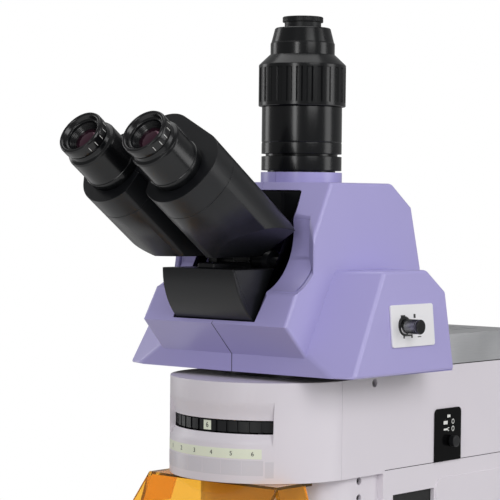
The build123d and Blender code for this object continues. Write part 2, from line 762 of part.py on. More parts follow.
def arm_sections():
    """Sections of the right arm where it owns the hinge lobe, and where it clears the other arm's lobe."""
    x = eye_spacing / 2
    rings = [
        Pos(x, 0) * Circle(arm_radius),
        Pos(x + 2.9, 5) * Circle(arm_crown_radius),
        Pos(0, hinge_offset) * Circle(arm_hinge_radius),
    ]
    full = make_hull(ShapeList([edge for ring in rings for edge in ring.edges()]))
    # inner sides are flat and almost meet at the closest spacing
    flat = Pos(0, hinge_offset) * Rot(0, 0, close_angle) * Pos(gap + 100, 0) * Rectangle(200, 300)
    lobe = Pos(0, hinge_offset) * Circle(arm_hinge_radius)
    room = Pos(0, hinge_offset) * Circle(arm_hinge_radius + gap)
    return (full & flat) + lobe, (full & flat) - room


def make_eye_arm(side, name):
    x = eye_spacing / 2
    owning, clearing = arm_sections()
    ends = (cap_from,) + lobe_ends + (175.0,)
    solid = None
    for index in range(len(ends) - 1):
        owns = (index % 2 == 0) == (side > 0)
        start = ends[index] + (gap if index > 0 and owns else 0)
        stop = ends[index + 1] + (0 if owns else gap)
        piece = extrude(Plane.XY.offset(-stop) * (owning if owns else clearing), amount=stop - start)
        solid = piece if solid is None else solid + piece
    solid -= rod(hinge_radius + running, (0, hinge_offset, -200), (0, hinge_offset, 0))
    body = solid & block(-100, 100, -100, 100, -180, -cap_to)
    cap = solid & block(-100, 100, -100, 100, -cap_to, -cap_from)
    cap -= rod(eye_plug_radius, (x, 0, -cap_from - eye_plug_depth), (x, 0, 0))
    # the underside is flat over the bracket, bevelled outwards, and rounded up into the upright rear end
    turn = arm_rear_round
    rear = arm_rear_plane
    under = arm_underside
    corner = turn * (1 - cos(radians(45)))
    high, front = rim_z + 70, rim_y - 90  # clear of the arm's front end
    bottom = Polyline((rear, high), (front, high), (front, under), (rear - turn, under))
    bend = ThreePointArc((rear - turn, under), (rear - corner, under + corner), (rear, under + turn))
    back = Polyline((rear, under + turn), (rear, high))
    keeper = extrude(Plane.YZ * make_face(bottom.edges() + bend.edges() + back.edges()), amount=120, both=True)
    bevel = Plane(origin=(44.3, -143.5, 490), z_dir=(-0.53, -0.04, 0.847))
    keeper &= bevel.location * Pos(0, 0, 200) * Box(600, 600, 400)
    body = (eye_plane.location * body) & keeper
    cap = eye_plane.location * cap
    tube_bottom = -cap_from
    bore = eye_plug_radius - 2
    tube = turned(
        (bore, tube_bottom - eye_plug_depth), (eye_plug_radius, tube_bottom - eye_plug_depth),
        (eye_plug_radius, tube_bottom), (eye_barrel_radius - 0.6, tube_bottom), (eye_barrel_radius - 0.6, tube_bottom + 4),
        (eye_collar_radius, tube_bottom + 4.6), (eye_collar_radius, tube_bottom + 9), (eye_barrel_radius, tube_bottom + 9.6),
        (eye_barrel_radius, -14), (eye_barrel_radius - 1.0, -11.4), (eye_ring_radius - 1, -eye_ring_length - gap),
        (eye_neck_radius, -eye_ring_length - gap), (eye_neck_radius, -3.2), (lens_radius, -3.2), (lens_radius, -10), (bore, -10),
    )
    ring = turned(
        (eye_neck_radius + running, -eye_ring_length), (eye_ring_radius - 0.9, -eye_ring_length), (eye_ring_radius - 0.9, -7.4),
        (eye_ring_radius, -7.0), (eye_ring_radius, -0.6), (eye_ring_radius - 0.6, 0), (eye_ring_radius - 1.3, 0),
        (eye_neck_radius + 0.6, -2.8), (eye_neck_radius + running, -2.8),
    )
    lens = turned((0, -10), (lens_radius, -10), (lens_radius, -7.4), (lens_radius - 2.5, -7.2), (0, -6.2))
    place = eye_plane.location * Pos(x, 0, 0)
    shapes = {"arm": body, "cap": cap, "tube": place * tube, "ring": place * ring, "lens": place * lens}
    if side < 0:
        shapes = {key: mirrored(shape) for key, shape in shapes.items()}
    keep(name + "_eye_arm", shapes["arm"])
    keep(name + "_arm_cap", shapes["cap"])
    keep(name + "_eye_tube", shapes["tube"])
    keep(name + "_diopter_ring", shapes["ring"])
    keep(name + "_eye_lens", shapes["lens"])


# Camera adapter


def make_adapter():
    throat_low = ring_top - 5
    sleeve_top = throat_low - throat_lift - gap
    barrel = turned(
        (port_bore, collar_top), (collar_radius - 3.2, collar_top), (collar_radius - 3.2, band_bottom),
        (collar_radius, band_bottom), (collar_radius, band_top - 0.4), (collar_radius - 0.3, band_top),
        (collar_radius, band_top + 0.4), (collar_radius, ring_bottom - gap), (27.0, ring_bottom - gap), (27.0, sleeve_top),
        (port_bore, sleeve_top),
    )
    barrel -= rod(2.0, (0, -collar_radius + 3, 562), (0, -collar_radius - 1, 562)).rotate(Axis.Z, 58)
    keep("adapter_barrel", barrel)

    ring = turned(
        (27.0 + running, ring_bottom), (ring_radius - 0.4, ring_bottom), (ring_radius, ring_bottom + 0.4),
        (ring_radius, ring_top - 0.4), (ring_radius - 0.4, ring_top), (throat_radius + 0.5, shoulder_top),
        (throat_radius + running, shoulder_top), (throat_radius + running, ring_top - 2), (27.0 + running, ring_top - 4),
    )
    width = 2 * pi * ring_radius / ring_flutes * 0.46
    ring = fluted(ring, ring_radius, flute_depth, width, ring_flutes, ring_bottom + 2, ring_top - 1.5)
    keep("adapter_ring", ring)

    throat = turned(
        (mount_radius, throat_low), (throat_radius, throat_low), (throat_radius, throat_top),
        (throat_radius - 0.6, throat_top + 0.3), (cone_radius, cone_top - 1), (cone_radius - 1, cone_top),
        (mount_radius, cone_top),
    )
    keep("adapter_throat", throat)

    cap = turned(
        (0, cone_top + 2), (mount_radius - 2.5, cone_top + 2), (mount_radius - 2.5, cone_top - 4), (mount_radius - running, cone_top - 4),
        (mount_radius - running, cone_top + 0.1), (cap_neck_radius, cone_top + 0.1), (cap_neck_radius, cap_top - cap_flange),
        (cap_radius, cap_top - cap_flange), (cap_radius, cap_top - 0.4), (cap_radius - 0.4, cap_top), (0, cap_top),
    )
    keep("dust_cap", cap)


# Amber shield


def make_shield():
    t = shield_thickness
    high = nose_top
    run = shield_drop / tan(radians(shield_slope))
    bend = t * tan(radians(shield_slope) / 2)
    side = [
        (nose_front - gap, high - t), (nose_front - gap, high), (shield_front, high),
        (shield_front - run, high - shield_drop), (shield_front - run + t * sin(radians(shield_slope)), high - shield_drop - t * cos(radians(shield_slope))),
        (shield_front + bend, high - t),
    ]
    sheet = slab_x(side, -shield_half_width, shield_half_width)
    sheet -= rod(2.2, (-40, shield_front + 20, high - 10), (-40, shield_front + 20, high + 1))
    sheet -= rod(2.2, (40, shield_front + 20, high - 10), (40, shield_front + 20, high + 1))
    lean = tan(radians(shield_flap_lean)) * shield_flap
    flap = slab_y(
        [(shield_half_width - t, high), (shield_half_width, high), (shield_half_width + lean, high - shield_flap),
         (shield_half_width + lean - t, high - shield_flap), (shield_half_width - t, high - t)],
        shield_front, shield_front + 32,
    )
    sheet = sheet + flap + mirrored(flap)
    keep("amber_shield", sheet)


# Nosepiece and objectives


def make_nosepiece():
    place = nosepiece_plane.location
    disc = turned(
        (nose_spindle + running, seat_depth - nosepiece_thickness), (nosepiece_radius, seat_depth - nosepiece_thickness),
        (nosepiece_radius, seat_depth - 7), (nosepiece_radius - 3, seat_depth - 1), (nose_spindle + running, seat_depth - 1),
    )
    disc = fluted(disc, nosepiece_radius, 0.8, 1.6, 36, seat_depth - nosepiece_thickness - 1, seat_depth - 7)
    disc += rod(nose_spindle + 3, (0, 0, seat_depth - 2.7), (0, 0, seat_depth + 3))
    solids = []
    for index, length in enumerate(objective_lengths):
        spoke = Rot(0, 0, 360 / len(objective_lengths) * index) * Location((0, 0, 0), (nosepiece_tilt, 0, 0))
        reach = objective_circle / sin(radians(nosepiece_tilt))
        disc += spoke * rod(objective_thread + 4, (0, 0, reach - 8), (0, 0, reach))
        disc -= spoke * rod(objective_thread, (0, 0, reach - 60), (0, 0, reach + 1))
        disc -= spoke * rod(objective_radius + 1, (0, 0, reach), (0, 0, reach + 10))
        solids.append(spoke * Pos(0, 0, reach) * make_objective(length))
    disc -= rod(nose_spindle + running, (0, 0, seat_depth - 60), (0, 0, seat_depth - 2.7))
    keep("nosepiece", place * disc)
    keep("objectives", *[place * solid for solid in solids])


def make_objective(length):
    """Objective pointing along +Z from its shoulder, with a stepped nose cone."""
    r = objective_radius
    tip = 3.5 if length > 40 else 6.0
    taper = min(12.0, length * 0.35)
    body = turned(
        (objective_thread - 4, -5), (objective_thread, -5), (objective_thread, 0), (r, 0), (r, 5), (r - 1, 5.5), (r - 1, 7),
        (r, 7.5), (r, length - taper), (tip + 1, length - 1), (tip, length), (tip - 1.5, length), (objective_thread - 6, length - taper),
        (objective_thread - 4, length - taper - 4),
    )
    return fluted(body, r, 0.4, 1.2, 24, 1, 4.6)


# Focus, stage and condenser


def involute_pinion(width):
    """Spur pinion along Z: involute flanks from the base circle, thinned for backlash."""
    pressure = radians(20)
    base = pitch_radius * cos(pressure)
    tip = pitch_radius + pinion_addendum * gear_module
    root = pitch_radius - (rack_addendum + 0.25) * gear_module
    inv = tan(pressure) - pressure
    half_tooth = pi / (2 * gear_teeth) - tooth_backlash / pitch_radius + inv
    radii = [base, base + (tip - base) * 0.35, base + (tip - base) * 0.7, tip]
    flank = []
    for r in radii:
        angle = acos(base / r)
        turn = half_tooth - (tan(angle) - angle)
        flank.append((r * cos(turn), r * sin(turn)))
    foot = [(root * 0.9, root * sin(half_tooth)), (root, root * sin(half_tooth))]
    upper = foot + flank
    points = upper + [(x, -y) for x, y in reversed(upper)]
    body = rod(root, (0, 0, -width / 2), (0, 0, width / 2))
    tooth = extrude(Plane.XY.offset(-width / 2) * outline(*points), amount=width)
    for index in range(gear_teeth):
        body += Rot(0, 0, 360 / gear_teeth * index) * tooth
    return body


def rack_profile(count):
    """Row of straight rack teeth along Z, pointing +Y from the pitch line, tooth gaps centred on z = 0."""
    pitch = pi * gear_module
    slope = tan(radians(20))
    half = pitch / 4 - tooth_backlash
    tip = rack_addendum * gear_module
    root = -(pinion_addendum + 0.25) * gear_module
    teeth = []
    for index in range(count):
        z = (index - count / 2 + 0.5) * pitch
        teeth.append([(root - 0.5, z - half + slope * root), (root, z - half + slope * root), (tip, z - half + slope * tip),
                      (tip, z + half - slope * tip), (root, z + half - slope * root), (root - 0.5, z + half - slope * root)])
    return teeth, root


def make_focus():
    teeth, root = rack_profile(rack_teeth)
    pitch = pi * gear_module
    mid = knob_z + (focus_down - focus_up) / 2
    shift = round((mid - knob_z) / pitch) * pitch
    centre = knob_z + shift
    carrier = block(-rail_half_width, rail_half_width, column_front - 2, rack_line + root * gear_module, rail_low, rail_high)
    for tooth in teeth:
        carrier += slab_x([(rack_line + y, centre + z) for y, z in tooth], -gear_width / 2 + 1, gear_width / 2 - 1)
    low = stage_top - upper_plate - gap - lower_plate
    carrier += block(-34, 34, column_front - 14, column_front - gap, rail_low, low)
    carrier += block(-rail_half_width, rail_half_width, column_front - 14, column_front, rail_low, rail_high - 2)
    table = block(-carrier_half_width, carrier_half_width, -44, column_front - gap, low - carrier_thickness, low)
    table = fillet(table.edges().filter_by(Axis.Z).group_by(Axis.Y)[0], 16)
    carrier += table
    carrier -= rod(carrier_hole, (0, 0, 100), (0, 0, stage_top))
    carrier -= block(-12, 12, 0, column_front - 14, low - carrier_thickness - 1, low - carrier_thickness + 3)
    keep("stage_carrier", carrier)

    reach = column_half_width + 5
    shaft = Rot(0, 90, 0) * rod(coarse_shaft, (0, 0, -reach), (0, 0, reach))
    pinion = Rot(0, 90, 0) * involute_pinion(gear_width)
    place = Pos(0, pinion_y, knob_z)
    shaft = (shaft + pinion) - Rot(0, 90, 0) * rod(fine_shaft + running, (0, 0, -120), (0, 0, 120))
    keep("focus_pinion", place * shaft)
    knob = turned(
        (coarse_shaft, 0), (coarse_radius - 1, 0), (coarse_radius, 1), (coarse_radius, coarse_length - 1.5),
        (coarse_radius - 1.5, coarse_length), (coarse_radius - 9, coarse_length), (coarse_radius - 10, coarse_length - 3),
        (coarse_shaft, coarse_length - 3),
    )
    knob = fluted(knob, coarse_radius, 0.8, 1.8, 40, 2.5, coarse_length - 3)
    right = Pos(column_half_width + gap, pinion_y, knob_z) * Rot(0, 90, 0) * knob
    keep("coarse_knobs", right, mirrored(right))
    fine = turned(
        (0, 0), (fine_radius - 1, 0), (fine_radius, 1), (fine_radius, fine_length - 1.2), (fine_radius - 1.2, fine_length), (0, fine_length)
    )
    fine = fluted(fine, fine_radius, 0.6, 1.2, 36, 2, fine_length - 2.5)
    far = column_half_width + gap + coarse_length + gap
    fine_right = Pos(far, pinion_y, knob_z) * Rot(0, 90, 0) * fine
    fine_body = fine_right + mirrored(fine_right) + rod(fine_shaft, (-far - 1, pinion_y, knob_z), (far + 1, pinion_y, knob_z))
    keep("fine_knobs", fine_body)


def make_stage():
    low = stage_top - upper_plate - gap - lower_plate
    front = stage_back - stage_depth
    lower = block(-lower_plate_half_width, lower_plate_half_width, -60, 92, low, low + lower_plate)
    lower = fillet(lower.edges().filter_by(Axis.Z), 8)
    lower -= Pos(0, 0, low) * extrude(SlotOverall(60, 40), amount=20, both=True)
    keep("stage_lower_plate", lower)

    half = stage_width / 2
    under = low + lower_plate + gap
    upper = block(-half, half, front, stage_back, under, stage_top)
    upper = fillet(upper.edges().filter_by(Axis.Z), 12)
    opening = 2 * condenser_lens_radius + 8
    upper -= Rot(0, 0, 90) * extrude(SlotOverall(2 * stage_travel_y + opening + 4, opening), amount=400, both=True)
    upper += block(drive_x - 12, drive_x + 12, drive_y - 12, drive_y + 12, low - 2, under)
    rail = block(-half + 12, half - 12, stage_back - 18, stage_back - 8, stage_top, stage_top + 2.2)
    upper += rail
    sleeve = rod(drive_shaft - 1.2, (drive_x, drive_y, low - drive_drop), (drive_x, drive_y, low))
    upper += sleeve
    upper -= rod(drive_inner_shaft + running, (drive_x, drive_y, 0), (drive_x, drive_y, under - 1))
    keep("stage_upper_plate", upper)

    bar = block(-46, 46, stage_back - 18, stage_back - 8, stage_top + 2.2 + gap, stage_top + 8)
    bar += block(-46, 46, 14, stage_back - 8, stage_top + 2.2 + gap, stage_top + 3.6)
    bar -= block(-39, 39, 13, 17, stage_top, stage_top + 9)
    finger = block(39, 46, -12, 16, stage_top + gap, stage_top + 2.4)
    bar += finger
    bar += block(39, 46, 14, 18, stage_top + gap, stage_top + 3)
    bar -= block(-39, 39, 28, 42, stage_top, stage_top + 9)
    keep("specimen_holder", bar)

    hinge_x, hinge_y = -42.5, 20.0
    bar_hole = rod(2 + running, (hinge_x, hinge_y, stage_top), (hinge_x, hinge_y, stage_top + 9))
    nodes["specimen_holder"] -= bar_hole
    clip = rod(2.0, (hinge_x, hinge_y, stage_top + 2.5), (hinge_x, hinge_y, stage_top + 6))
    clip += rod(4.0, (hinge_x, hinge_y, stage_top + 3.6 + gap), (hinge_x, hinge_y, stage_top + 6))
    lever = Polyline(
        (hinge_x - 4, hinge_y), (hinge_x - 5, hinge_y - 20), (hinge_x - 1, hinge_y - 34), (hinge_x + 3.5, hinge_y - 36),
        (hinge_x + 2.5, hinge_y - 30), (hinge_x - 1, hinge_y - 19), (hinge_x + 2, hinge_y), close=True,
    )
    clip += extrude(Plane.XY.offset(stage_top + 3.6 + gap) * make_face(lever), amount=1.6)
    keep("slide_clip", clip)

    top = low - 2 - gap
    y_knob = turned(
        (drive_shaft - 1.2 + running, 0), (drive_y_knob_radius, 0), (drive_y_knob_radius, -drive_knob_length), (drive_shaft - 1.2 + running, -drive_knob_length)
    )
    y_knob = fluted(y_knob, drive_y_knob_radius, 0.6, 1.4, 28, -drive_knob_length + 1.5, -1.5)
    keep("stage_y_knob", Pos(drive_x, drive_y, top) * y_knob)
    x_top = low - drive_drop - gap
    x_knob = turned(
        (0, 0), (drive_x_knob_radius, 0), (drive_x_knob_radius, -drive_knob_length), (0, -drive_knob_length)
    )
    x_knob = fluted(x_knob, drive_x_knob_radius, 0.6, 1.4, 24, -drive_knob_length + 1.5, -1.5)
    x_knob = Pos(drive_x, drive_y, x_top) * x_knob
    x_knob += rod(drive_inner_shaft, (drive_x, drive_y, x_top - 1), (drive_x, drive_y, under - 2))
    keep("stage_x_knob", x_knob)


def make_condenser():
    face = column_front - 14 - gap
    ring_low = condenser_bottom + 6
    ring_high = ring_low + 12
    inner = condenser_radius - 6
    slide = block(-16, 16, face - 8, face, ring_low - 28, ring_high - 2)
    slide += block(-12, 12, inner, face - 4, ring_low, ring_high - 4)
    holder = rod(inner + condenser_ring_wall, (0, 0, ring_low), (0, 0, ring_high))
    slide = (slide + holder) - rod(inner, (0, 0, 0), (0, 0, 300))
    keep("condenser_carrier", slide)

    glass_top = stage_top - 1.0
    body = turned(
        (8, condenser_bottom), (condenser_radius - 2, condenser_bottom), (condenser_radius, condenser_bottom + 1), (condenser_radius, ring_low - gap),
        (inner, ring_low - gap), (inner, ring_high + 1), (inner + 2, ring_high + 1), (inner + 2, ring_high + 5), (20, ring_high + 8),
        (17, glass_top - 12), (condenser_lens_radius, glass_top - 2), (condenser_lens_radius - 2, glass_top - 2), (condenser_lens_radius - 2, glass_top - 10), (8, glass_top - 14),
    )
    slot_z = condenser_bottom + 2.5
    ring_slot = Pos(0, 0, slot_z) * (Cylinder(condenser_radius + 1, 2.4) - Cylinder(condenser_radius - 7, 3))
    wedge = slab_z([(0, 0), (60, -80), (-60, -80)], slot_z - 3, slot_z + 3)
    body -= ring_slot & wedge
    lens = turned((0, glass_top - 10), (condenser_lens_radius - 2, glass_top - 10), (condenser_lens_radius - 2, glass_top - 2), (0, glass_top - 0.4))
    keep("condenser", body)
    keep("condenser_lens", lens)

    lever = block(-2, 2, -condenser_radius - 12, -condenser_radius + 6, slot_z - 0.8, slot_z + 0.8)
    lever += rod(3, (0, -condenser_radius - 12, slot_z), (0, -condenser_radius - 6, slot_z))
    keep("aperture_lever", lever)

    shaft_y = column_front - condenser_knob_radius - 1
    shaft_z = ring_low - 10
    r = condenser_knob_radius
    length = condenser_knob_length
    knob = turned((0, 0), (r - 1, 0), (r, 1), (r, length - 1), (r - 1, length), (0, length))
    knob = fluted(knob, r, 0.6, 1.3, 24, 1.5, length - 2)
    knob = Rot(0, -90, 0) * knob
    body = Pos(-34 - gap, shaft_y, shaft_z) * knob + rod(3.0, (-36, shaft_y, shaft_z), (-18, shaft_y, shaft_z))
    nodes["stage_carrier"] -= rod(3.0 + running, (-35, shaft_y, shaft_z), (-17, shaft_y, shaft_z))
    keep("condenser_knob", body)


# Base optics and controls


def make_base_controls():
    lens = turned(
        (0, field_boss_top - 6), (field_lens_radius, field_boss_top - 6), (field_lens_radius, field_boss_top - 1.5), (0, field_boss_top)
    )
    keep("field_lens", lens)
    ring = turned(
        (field_boss_radius + running, base_top + gap), (field_ring_radius, base_top + gap), (field_ring_radius, base_top + gap + field_ring_height),
        (field_boss_radius + running, base_top + gap + field_ring_height),
    )
    ring = fluted(ring, field_ring_radius, 0.5, 1.6, 40, base_top + 1.5, base_top + field_ring_height - 1)
    keep("field_diaphragm_ring", ring)
    dial = turned((0, 0), (dial_radius - 1, 0), (dial_radius, 1), (dial_radius, dial_length - 1), (dial_radius - 1, dial_length), (0, dial_length))
    dial = fluted(dial, dial_radius, 0.5, 1.2, 30, 1.5, dial_length - 1.5)
    dial = Pos(base_half_width + gap, dial_y, dial_z) * Rot(0, 90, 0) * dial
    dial += rod(4.0, (base_half_width - 12, dial_y, dial_z), (base_half_width + 1, dial_y, dial_z))
    keep("brightness_dial", dial)
    half = rocker_length / 2
    x = -base_half_width + rocker_depth
    rocker = slab_z(
        [(x + 3.5, -half + 2.5), (x + 3.5, half - 2.5), (x, half), (x - 4.5, half - 1.2), (x - 8, 0),
         (x - 8.7, -half + 1.2), (x, -half)],
        -rocker_height / 2, rocker_height / 2,
    )
    keep("power_rocker", Pos(0, rocker_y, dial_z) * rocker + rocker_pin_rod(rocker_pin, 0))
    back = base_rear
    inlet = block(-inlet_width / 2 - 2, inlet_width / 2 + 2, back - 24, back, inlet_z - inlet_height / 2 - 2, inlet_z + inlet_height / 2 + 2)
    inlet += block(-inlet_width / 2 - 9, inlet_width / 2 + 9, back, back + 2, inlet_z - inlet_height / 2 - 4, inlet_z + inlet_height / 2 + 4)
    inlet -= block(-inlet_width / 2, inlet_width / 2, back - 17, back + 3, inlet_z - inlet_height / 2, inlet_z + inlet_height / 2)
    for x in (-7, 0, 7):
        inlet += block(x - 1, x + 1, back - 18, back - 3, inlet_z - 2, inlet_z + 2)
    keep("power_inlet", inlet)


# Screws


def socket_screw(radius, head, length):
    """Small socket screw along +Z with its head ending at z = 0."""
    body = rod(radius, (0, 0, -length), (0, 0, 0)) + rod(head, (0, 0, -radius), (0, 0, 0))
    return body - extrude(RegularPolygon(head * 0.5, 6), amount=-radius * 0.8)


def make_screws():
    solids = []
    for side in (-1, 1):
        turn = Rot(0, side * 90, 0)
        solids.append(Pos(side * (arm_half_width - 4), 0, drum_top - 4) * turn * socket_screw(3.2, 3.2, 9))
        for z in (arm_top - 6, arm_top - 19):
            solids.append(Pos(side * (nose_half_width - 3), nose_back - 24, z) * turn * socket_screw(3.0, 3.0, 8))
        solids.append(Pos(side * 40, shield_front + 20, nose_top - shield_thickness - 2.2) * Rot(180, 0, 0) * socket_screw(2.2, 4.0, 5.1))
    place = Plane(
        origin=(sin(radians(58)) * (collar_radius - 1), -cos(radians(58)) * (collar_radius - 1), 562),
        z_dir=(sin(radians(58)), -cos(radians(58)), 0),
    )
    solids.append(place.location * socket_screw(2.0, 2.0, 2.0))
    keep("set_screws", *solids)


def main():
    make_base()
    make_column()
    make_arm()
    make_illuminator()
    make_head_cover()
    make_head_inside()
    make_tilt_bracket()
    make_eye_arm(1, "right")
    make_eye_arm(-1, "left")
    make_adapter()
    make_shield()
    make_nosepiece()
    make_focus()
    make_stage()
    make_condenser()
    make_base_controls()
    make_screws()
    os.makedirs("parts", exist_ok=True)
    for name, shape in nodes.items():
        export_step(shape, "parts/" + name + ".step")
    print(len(nodes), "parts")


main()
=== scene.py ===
import json
import math
import bmesh
import bpy
import numpy as np
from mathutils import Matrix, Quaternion, Vector


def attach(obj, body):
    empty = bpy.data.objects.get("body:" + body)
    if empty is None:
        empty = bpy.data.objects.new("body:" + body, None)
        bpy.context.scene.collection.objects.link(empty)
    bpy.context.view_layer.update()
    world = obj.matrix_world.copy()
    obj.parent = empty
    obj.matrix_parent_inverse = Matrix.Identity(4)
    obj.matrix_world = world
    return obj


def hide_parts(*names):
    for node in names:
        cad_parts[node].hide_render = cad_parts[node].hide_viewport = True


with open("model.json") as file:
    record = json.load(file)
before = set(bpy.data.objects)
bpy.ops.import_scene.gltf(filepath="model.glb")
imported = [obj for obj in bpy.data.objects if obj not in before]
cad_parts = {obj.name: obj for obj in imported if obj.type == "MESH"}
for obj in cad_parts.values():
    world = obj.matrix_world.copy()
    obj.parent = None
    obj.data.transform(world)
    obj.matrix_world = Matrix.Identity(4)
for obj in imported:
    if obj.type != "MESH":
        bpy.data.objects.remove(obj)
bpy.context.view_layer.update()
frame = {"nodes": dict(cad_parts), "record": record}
print("frame loaded", len(frame["nodes"]), "nodes")

mm = 0.001
bodyOf = {node: body for body, nodes in frame["record"]["behaviour"]["bodies"].items() for node in nodes}
slotOf = {part["node"]: part["material_slot"] for part in frame["record"]["subparts"]}

# camera of the photograph, solved from the instrument's own round parts
photoView = {"place": (0.9764, -1.2257, 0.5229), "azimuth": 39.98, "pitch": 1.44, "roll": 0.59, "lens": 144.7}


def makeCamera(view):
    turn, tip = math.radians(view["azimuth"]), math.radians(view["pitch"])
    look = Vector((-math.sin(turn) * math.cos(tip), math.cos(turn) * math.cos(tip), -math.sin(tip)))
    camera = bpy.data.objects.new("photoCamera", bpy.data.cameras.new("photoCamera"))
    camera.location = view["place"]
    camera.rotation_mode = "QUATERNION"
    camera.rotation_quaternion = look.to_track_quat("-Z", "Y") @ Quaternion((0, 0, 1), math.radians(view["roll"]))
    camera.data.lens = view["lens"]
    camera.data.sensor_width = 36
    camera.data.clip_end = 30
    bpy.context.collection.objects.link(camera)
    bpy.context.scene.camera = camera


makeCamera(photoView)


# Materials

def toLinear(code):
    # sRGB hex to linear light
    parts = [int(code[i:i + 2], 16) / 255 for i in (1, 3, 5)]
    return tuple(c / 12.92 if c <= 0.04045 else ((c + 0.055) / 1.055) ** 2.4 for c in parts) + (1.0,)


def addNode(owner, kind, inputs=None, **settings):
    # one node with its settings; an input that is a pair (node, output) is linked
    node = owner.node_tree.nodes.new("ShaderNode" + kind)
    for key, value in settings.items():
        setattr(node, key, value)
    for key, value in (inputs or {}).items():
        if isinstance(value, tuple) and isinstance(value[0], bpy.types.Node):
            owner.node_tree.links.new(value[0].outputs[value[1]], node.inputs[key])
        else:
            node.inputs[key].default_value = value
    return node


def addNoise(material, vector, size, detail):
    # size in millimetres
    return addNode(material, "TexNoise", {"Vector": vector, "Scale": 1 / (size * mm), "Detail": detail})


def addTone(material, noise, first, second):
    colours = {"Factor": (noise, "Fac"), "A": toLinear(first), "B": toLinear(second)}
    return addNode(material, "Mix", colours, data_type="RGBA")


def addGloss(material, noise, low, high):
    # the middle of the noise spread over a range of roughness
    return addNode(material, "MapRange", {
        "Value": (noise, "Fac"), "From Min": 0.3, "From Max": 0.7, "To Min": low, "To Max": high})


def newMaterial(name):
    material = bpy.data.materials.new(name)
    material.use_nodes = True
    material.node_tree.nodes.clear()
    return material


def closeMaterial(material, shader, alpha=1.0):
    addNode(material, "OutputMaterial", {"Surface": (shader, 0)})
    material.diffuse_color = (0.5, 0.5, 0.5, alpha)
    return material


coatedDrift = 60  # mm from one tone to the next


def coatedSurface(name, look):
    # paint, moulding or film: a fine grain that moves gloss and surface, and a slow drift in tone
    material = newMaterial(name)
    place = addNode(material, "TexCoord")
    grain = addNoise(material, (place, "Object"), look["grain"], 3.0)
    drift = addNoise(material, (place, "Object"), coatedDrift, 2.0)
    tone = addTone(material, drift, look["colour"], look["drift"])
    gloss = addGloss(material, grain, look["roughness"] - look["spread"], look["roughness"] + look["spread"])
    bump = addNode(material, "Bump", {
        "Height": (grain, "Fac"), "Strength": look["strength"], "Distance": look["depth"] * mm})
    shader = addNode(material, "BsdfPrincipled", {
        "Base Color": (tone, "Result"), "Roughness": (gloss, "Result"), "Normal": (bump, "Normal"),
        "Specular IOR Level": look.get("mirror", 0.5),
        "Coat Weight": look.get("coat", 0.0), "Coat Roughness": look.get("coatRoughness", 0.1)})
    return closeMaterial(material, shader)


# grain and depth are in millimetres
coated = {
    # powder-coated aluminium casting, near white with a breath of lilac: soft broad sheen, fine orange peel
    "enamelWhite": {"colour": "#E4DEE5", "drift": "#E0DAE2", "grain": 0.9, "roughness": 0.42, "spread": 0.05,
                    "strength": 0.12, "depth": 0.05},
    # two-coat lacquer on ABS: even lilac, satin with a clear edge highlight
    "lilacLacquer": {"colour": "#AAA3D8", "drift": "#A69FD4", "grain": 0.7, "roughness": 0.36, "spread": 0.03,
                     "strength": 0.06, "depth": 0.04, "coat": 0.25, "coatRoughness": 0.25},
    # satin black paint on die-cast metal: dark grey in the light, soft wide highlights
    "satinBlack": {"colour": "#131417", "drift": "#101114", "mirror": 0.32, "grain": 0.45, "roughness": 0.36,
                   "spread": 0.07, "strength": 0.18, "depth": 0.03},
    # black anodised aluminium, turned: deeper black with a tighter highlight
    "anodisedBlack": {"colour": "#0C0D0F", "drift": "#0F1012", "mirror": 0.34, "grain": 0.25, "roughness": 0.22,
                      "spread": 0.05, "strength": 0.10, "depth": 0.02},
    # painted shade: a matt near-black that stands for the shadow in the arm's slot and in the parting lines,
    # returns almost nothing
    "gapShadeBlack": {"colour": "#0B0B0C", "drift": "#0E0E0F", "grain": 0.3, "roughness": 0.75, "spread": 0.08,
                    "strength": 0.20, "depth": 0.03},
    # moulded ABS, black with a spark-eroded grain
    "mouldedBlack": {"colour": "#101113", "drift": "#131416", "mirror": 0.32, "grain": 0.35, "roughness": 0.42,
                     "spread": 0.07, "strength": 0.22, "depth": 0.03},
    # polished black ABS of the eyepiece rings: sharp highlights
    "polishedBlack": {"colour": "#0E0E10", "drift": "#111113", "mirror": 0.4, "grain": 0.8, "roughness": 0.20,
                      "spread": 0.04, "strength": 0.04, "depth": 0.02},
    # black rubber, matt and slightly dusty
    "footRubber": {"colour": "#18181A", "drift": "#222224", "grain": 0.5, "roughness": 0.8, "spread": 0.08,
                   "strength": 0.25, "depth": 0.05},
    # silk-screened white plate: the cleanest white on the instrument
    "plateWhite": {"colour": "#ECEBEE", "drift": "#E8E7EA", "grain": 0.4, "roughness": 0.38, "spread": 0.05,
                   "strength": 0.06, "depth": 0.02},
    # white printing ink, matt
    "inkWhite": {"colour": "#E8E8E4", "drift": "#E2E2DE", "grain": 0.3, "roughness": 0.55, "spread": 0.05,
                 "strength": 0.05, "depth": 0.01},
    # black printing ink, matt
    "inkBlack": {"colour": "#141416", "drift": "#18181A", "grain": 0.3, "roughness": 0.5, "spread": 0.05,
                 "strength": 0.05, "depth": 0.01},
    # pale polycarbonate film over the filter window, satin
    "frostedFilm": {"colour": "#D9D5DC", "drift": "#D4D0D8", "grain": 0.4, "roughness": 0.32, "spread": 0.05,
                    "strength": 0.05, "depth": 0.01},
    # black polyester overlay of the control panel: deep and smooth
    "overlayBlack": {"colour": "#060607", "drift": "#080809", "mirror": 0.12, "grain": 0.5, "roughness": 0.16,
                     "spread": 0.04, "strength": 0.04, "depth": 0.01},
    # pale green luminous label film
    "labelGreen": {"colour": "#ECF1DD", "drift": "#E8EDD8", "grain": 0.5, "roughness": 0.45, "spread": 0.05,
                   "strength": 0.05, "depth": 0.01},
}

metalDrift = 45  # mm from one gloss to the next


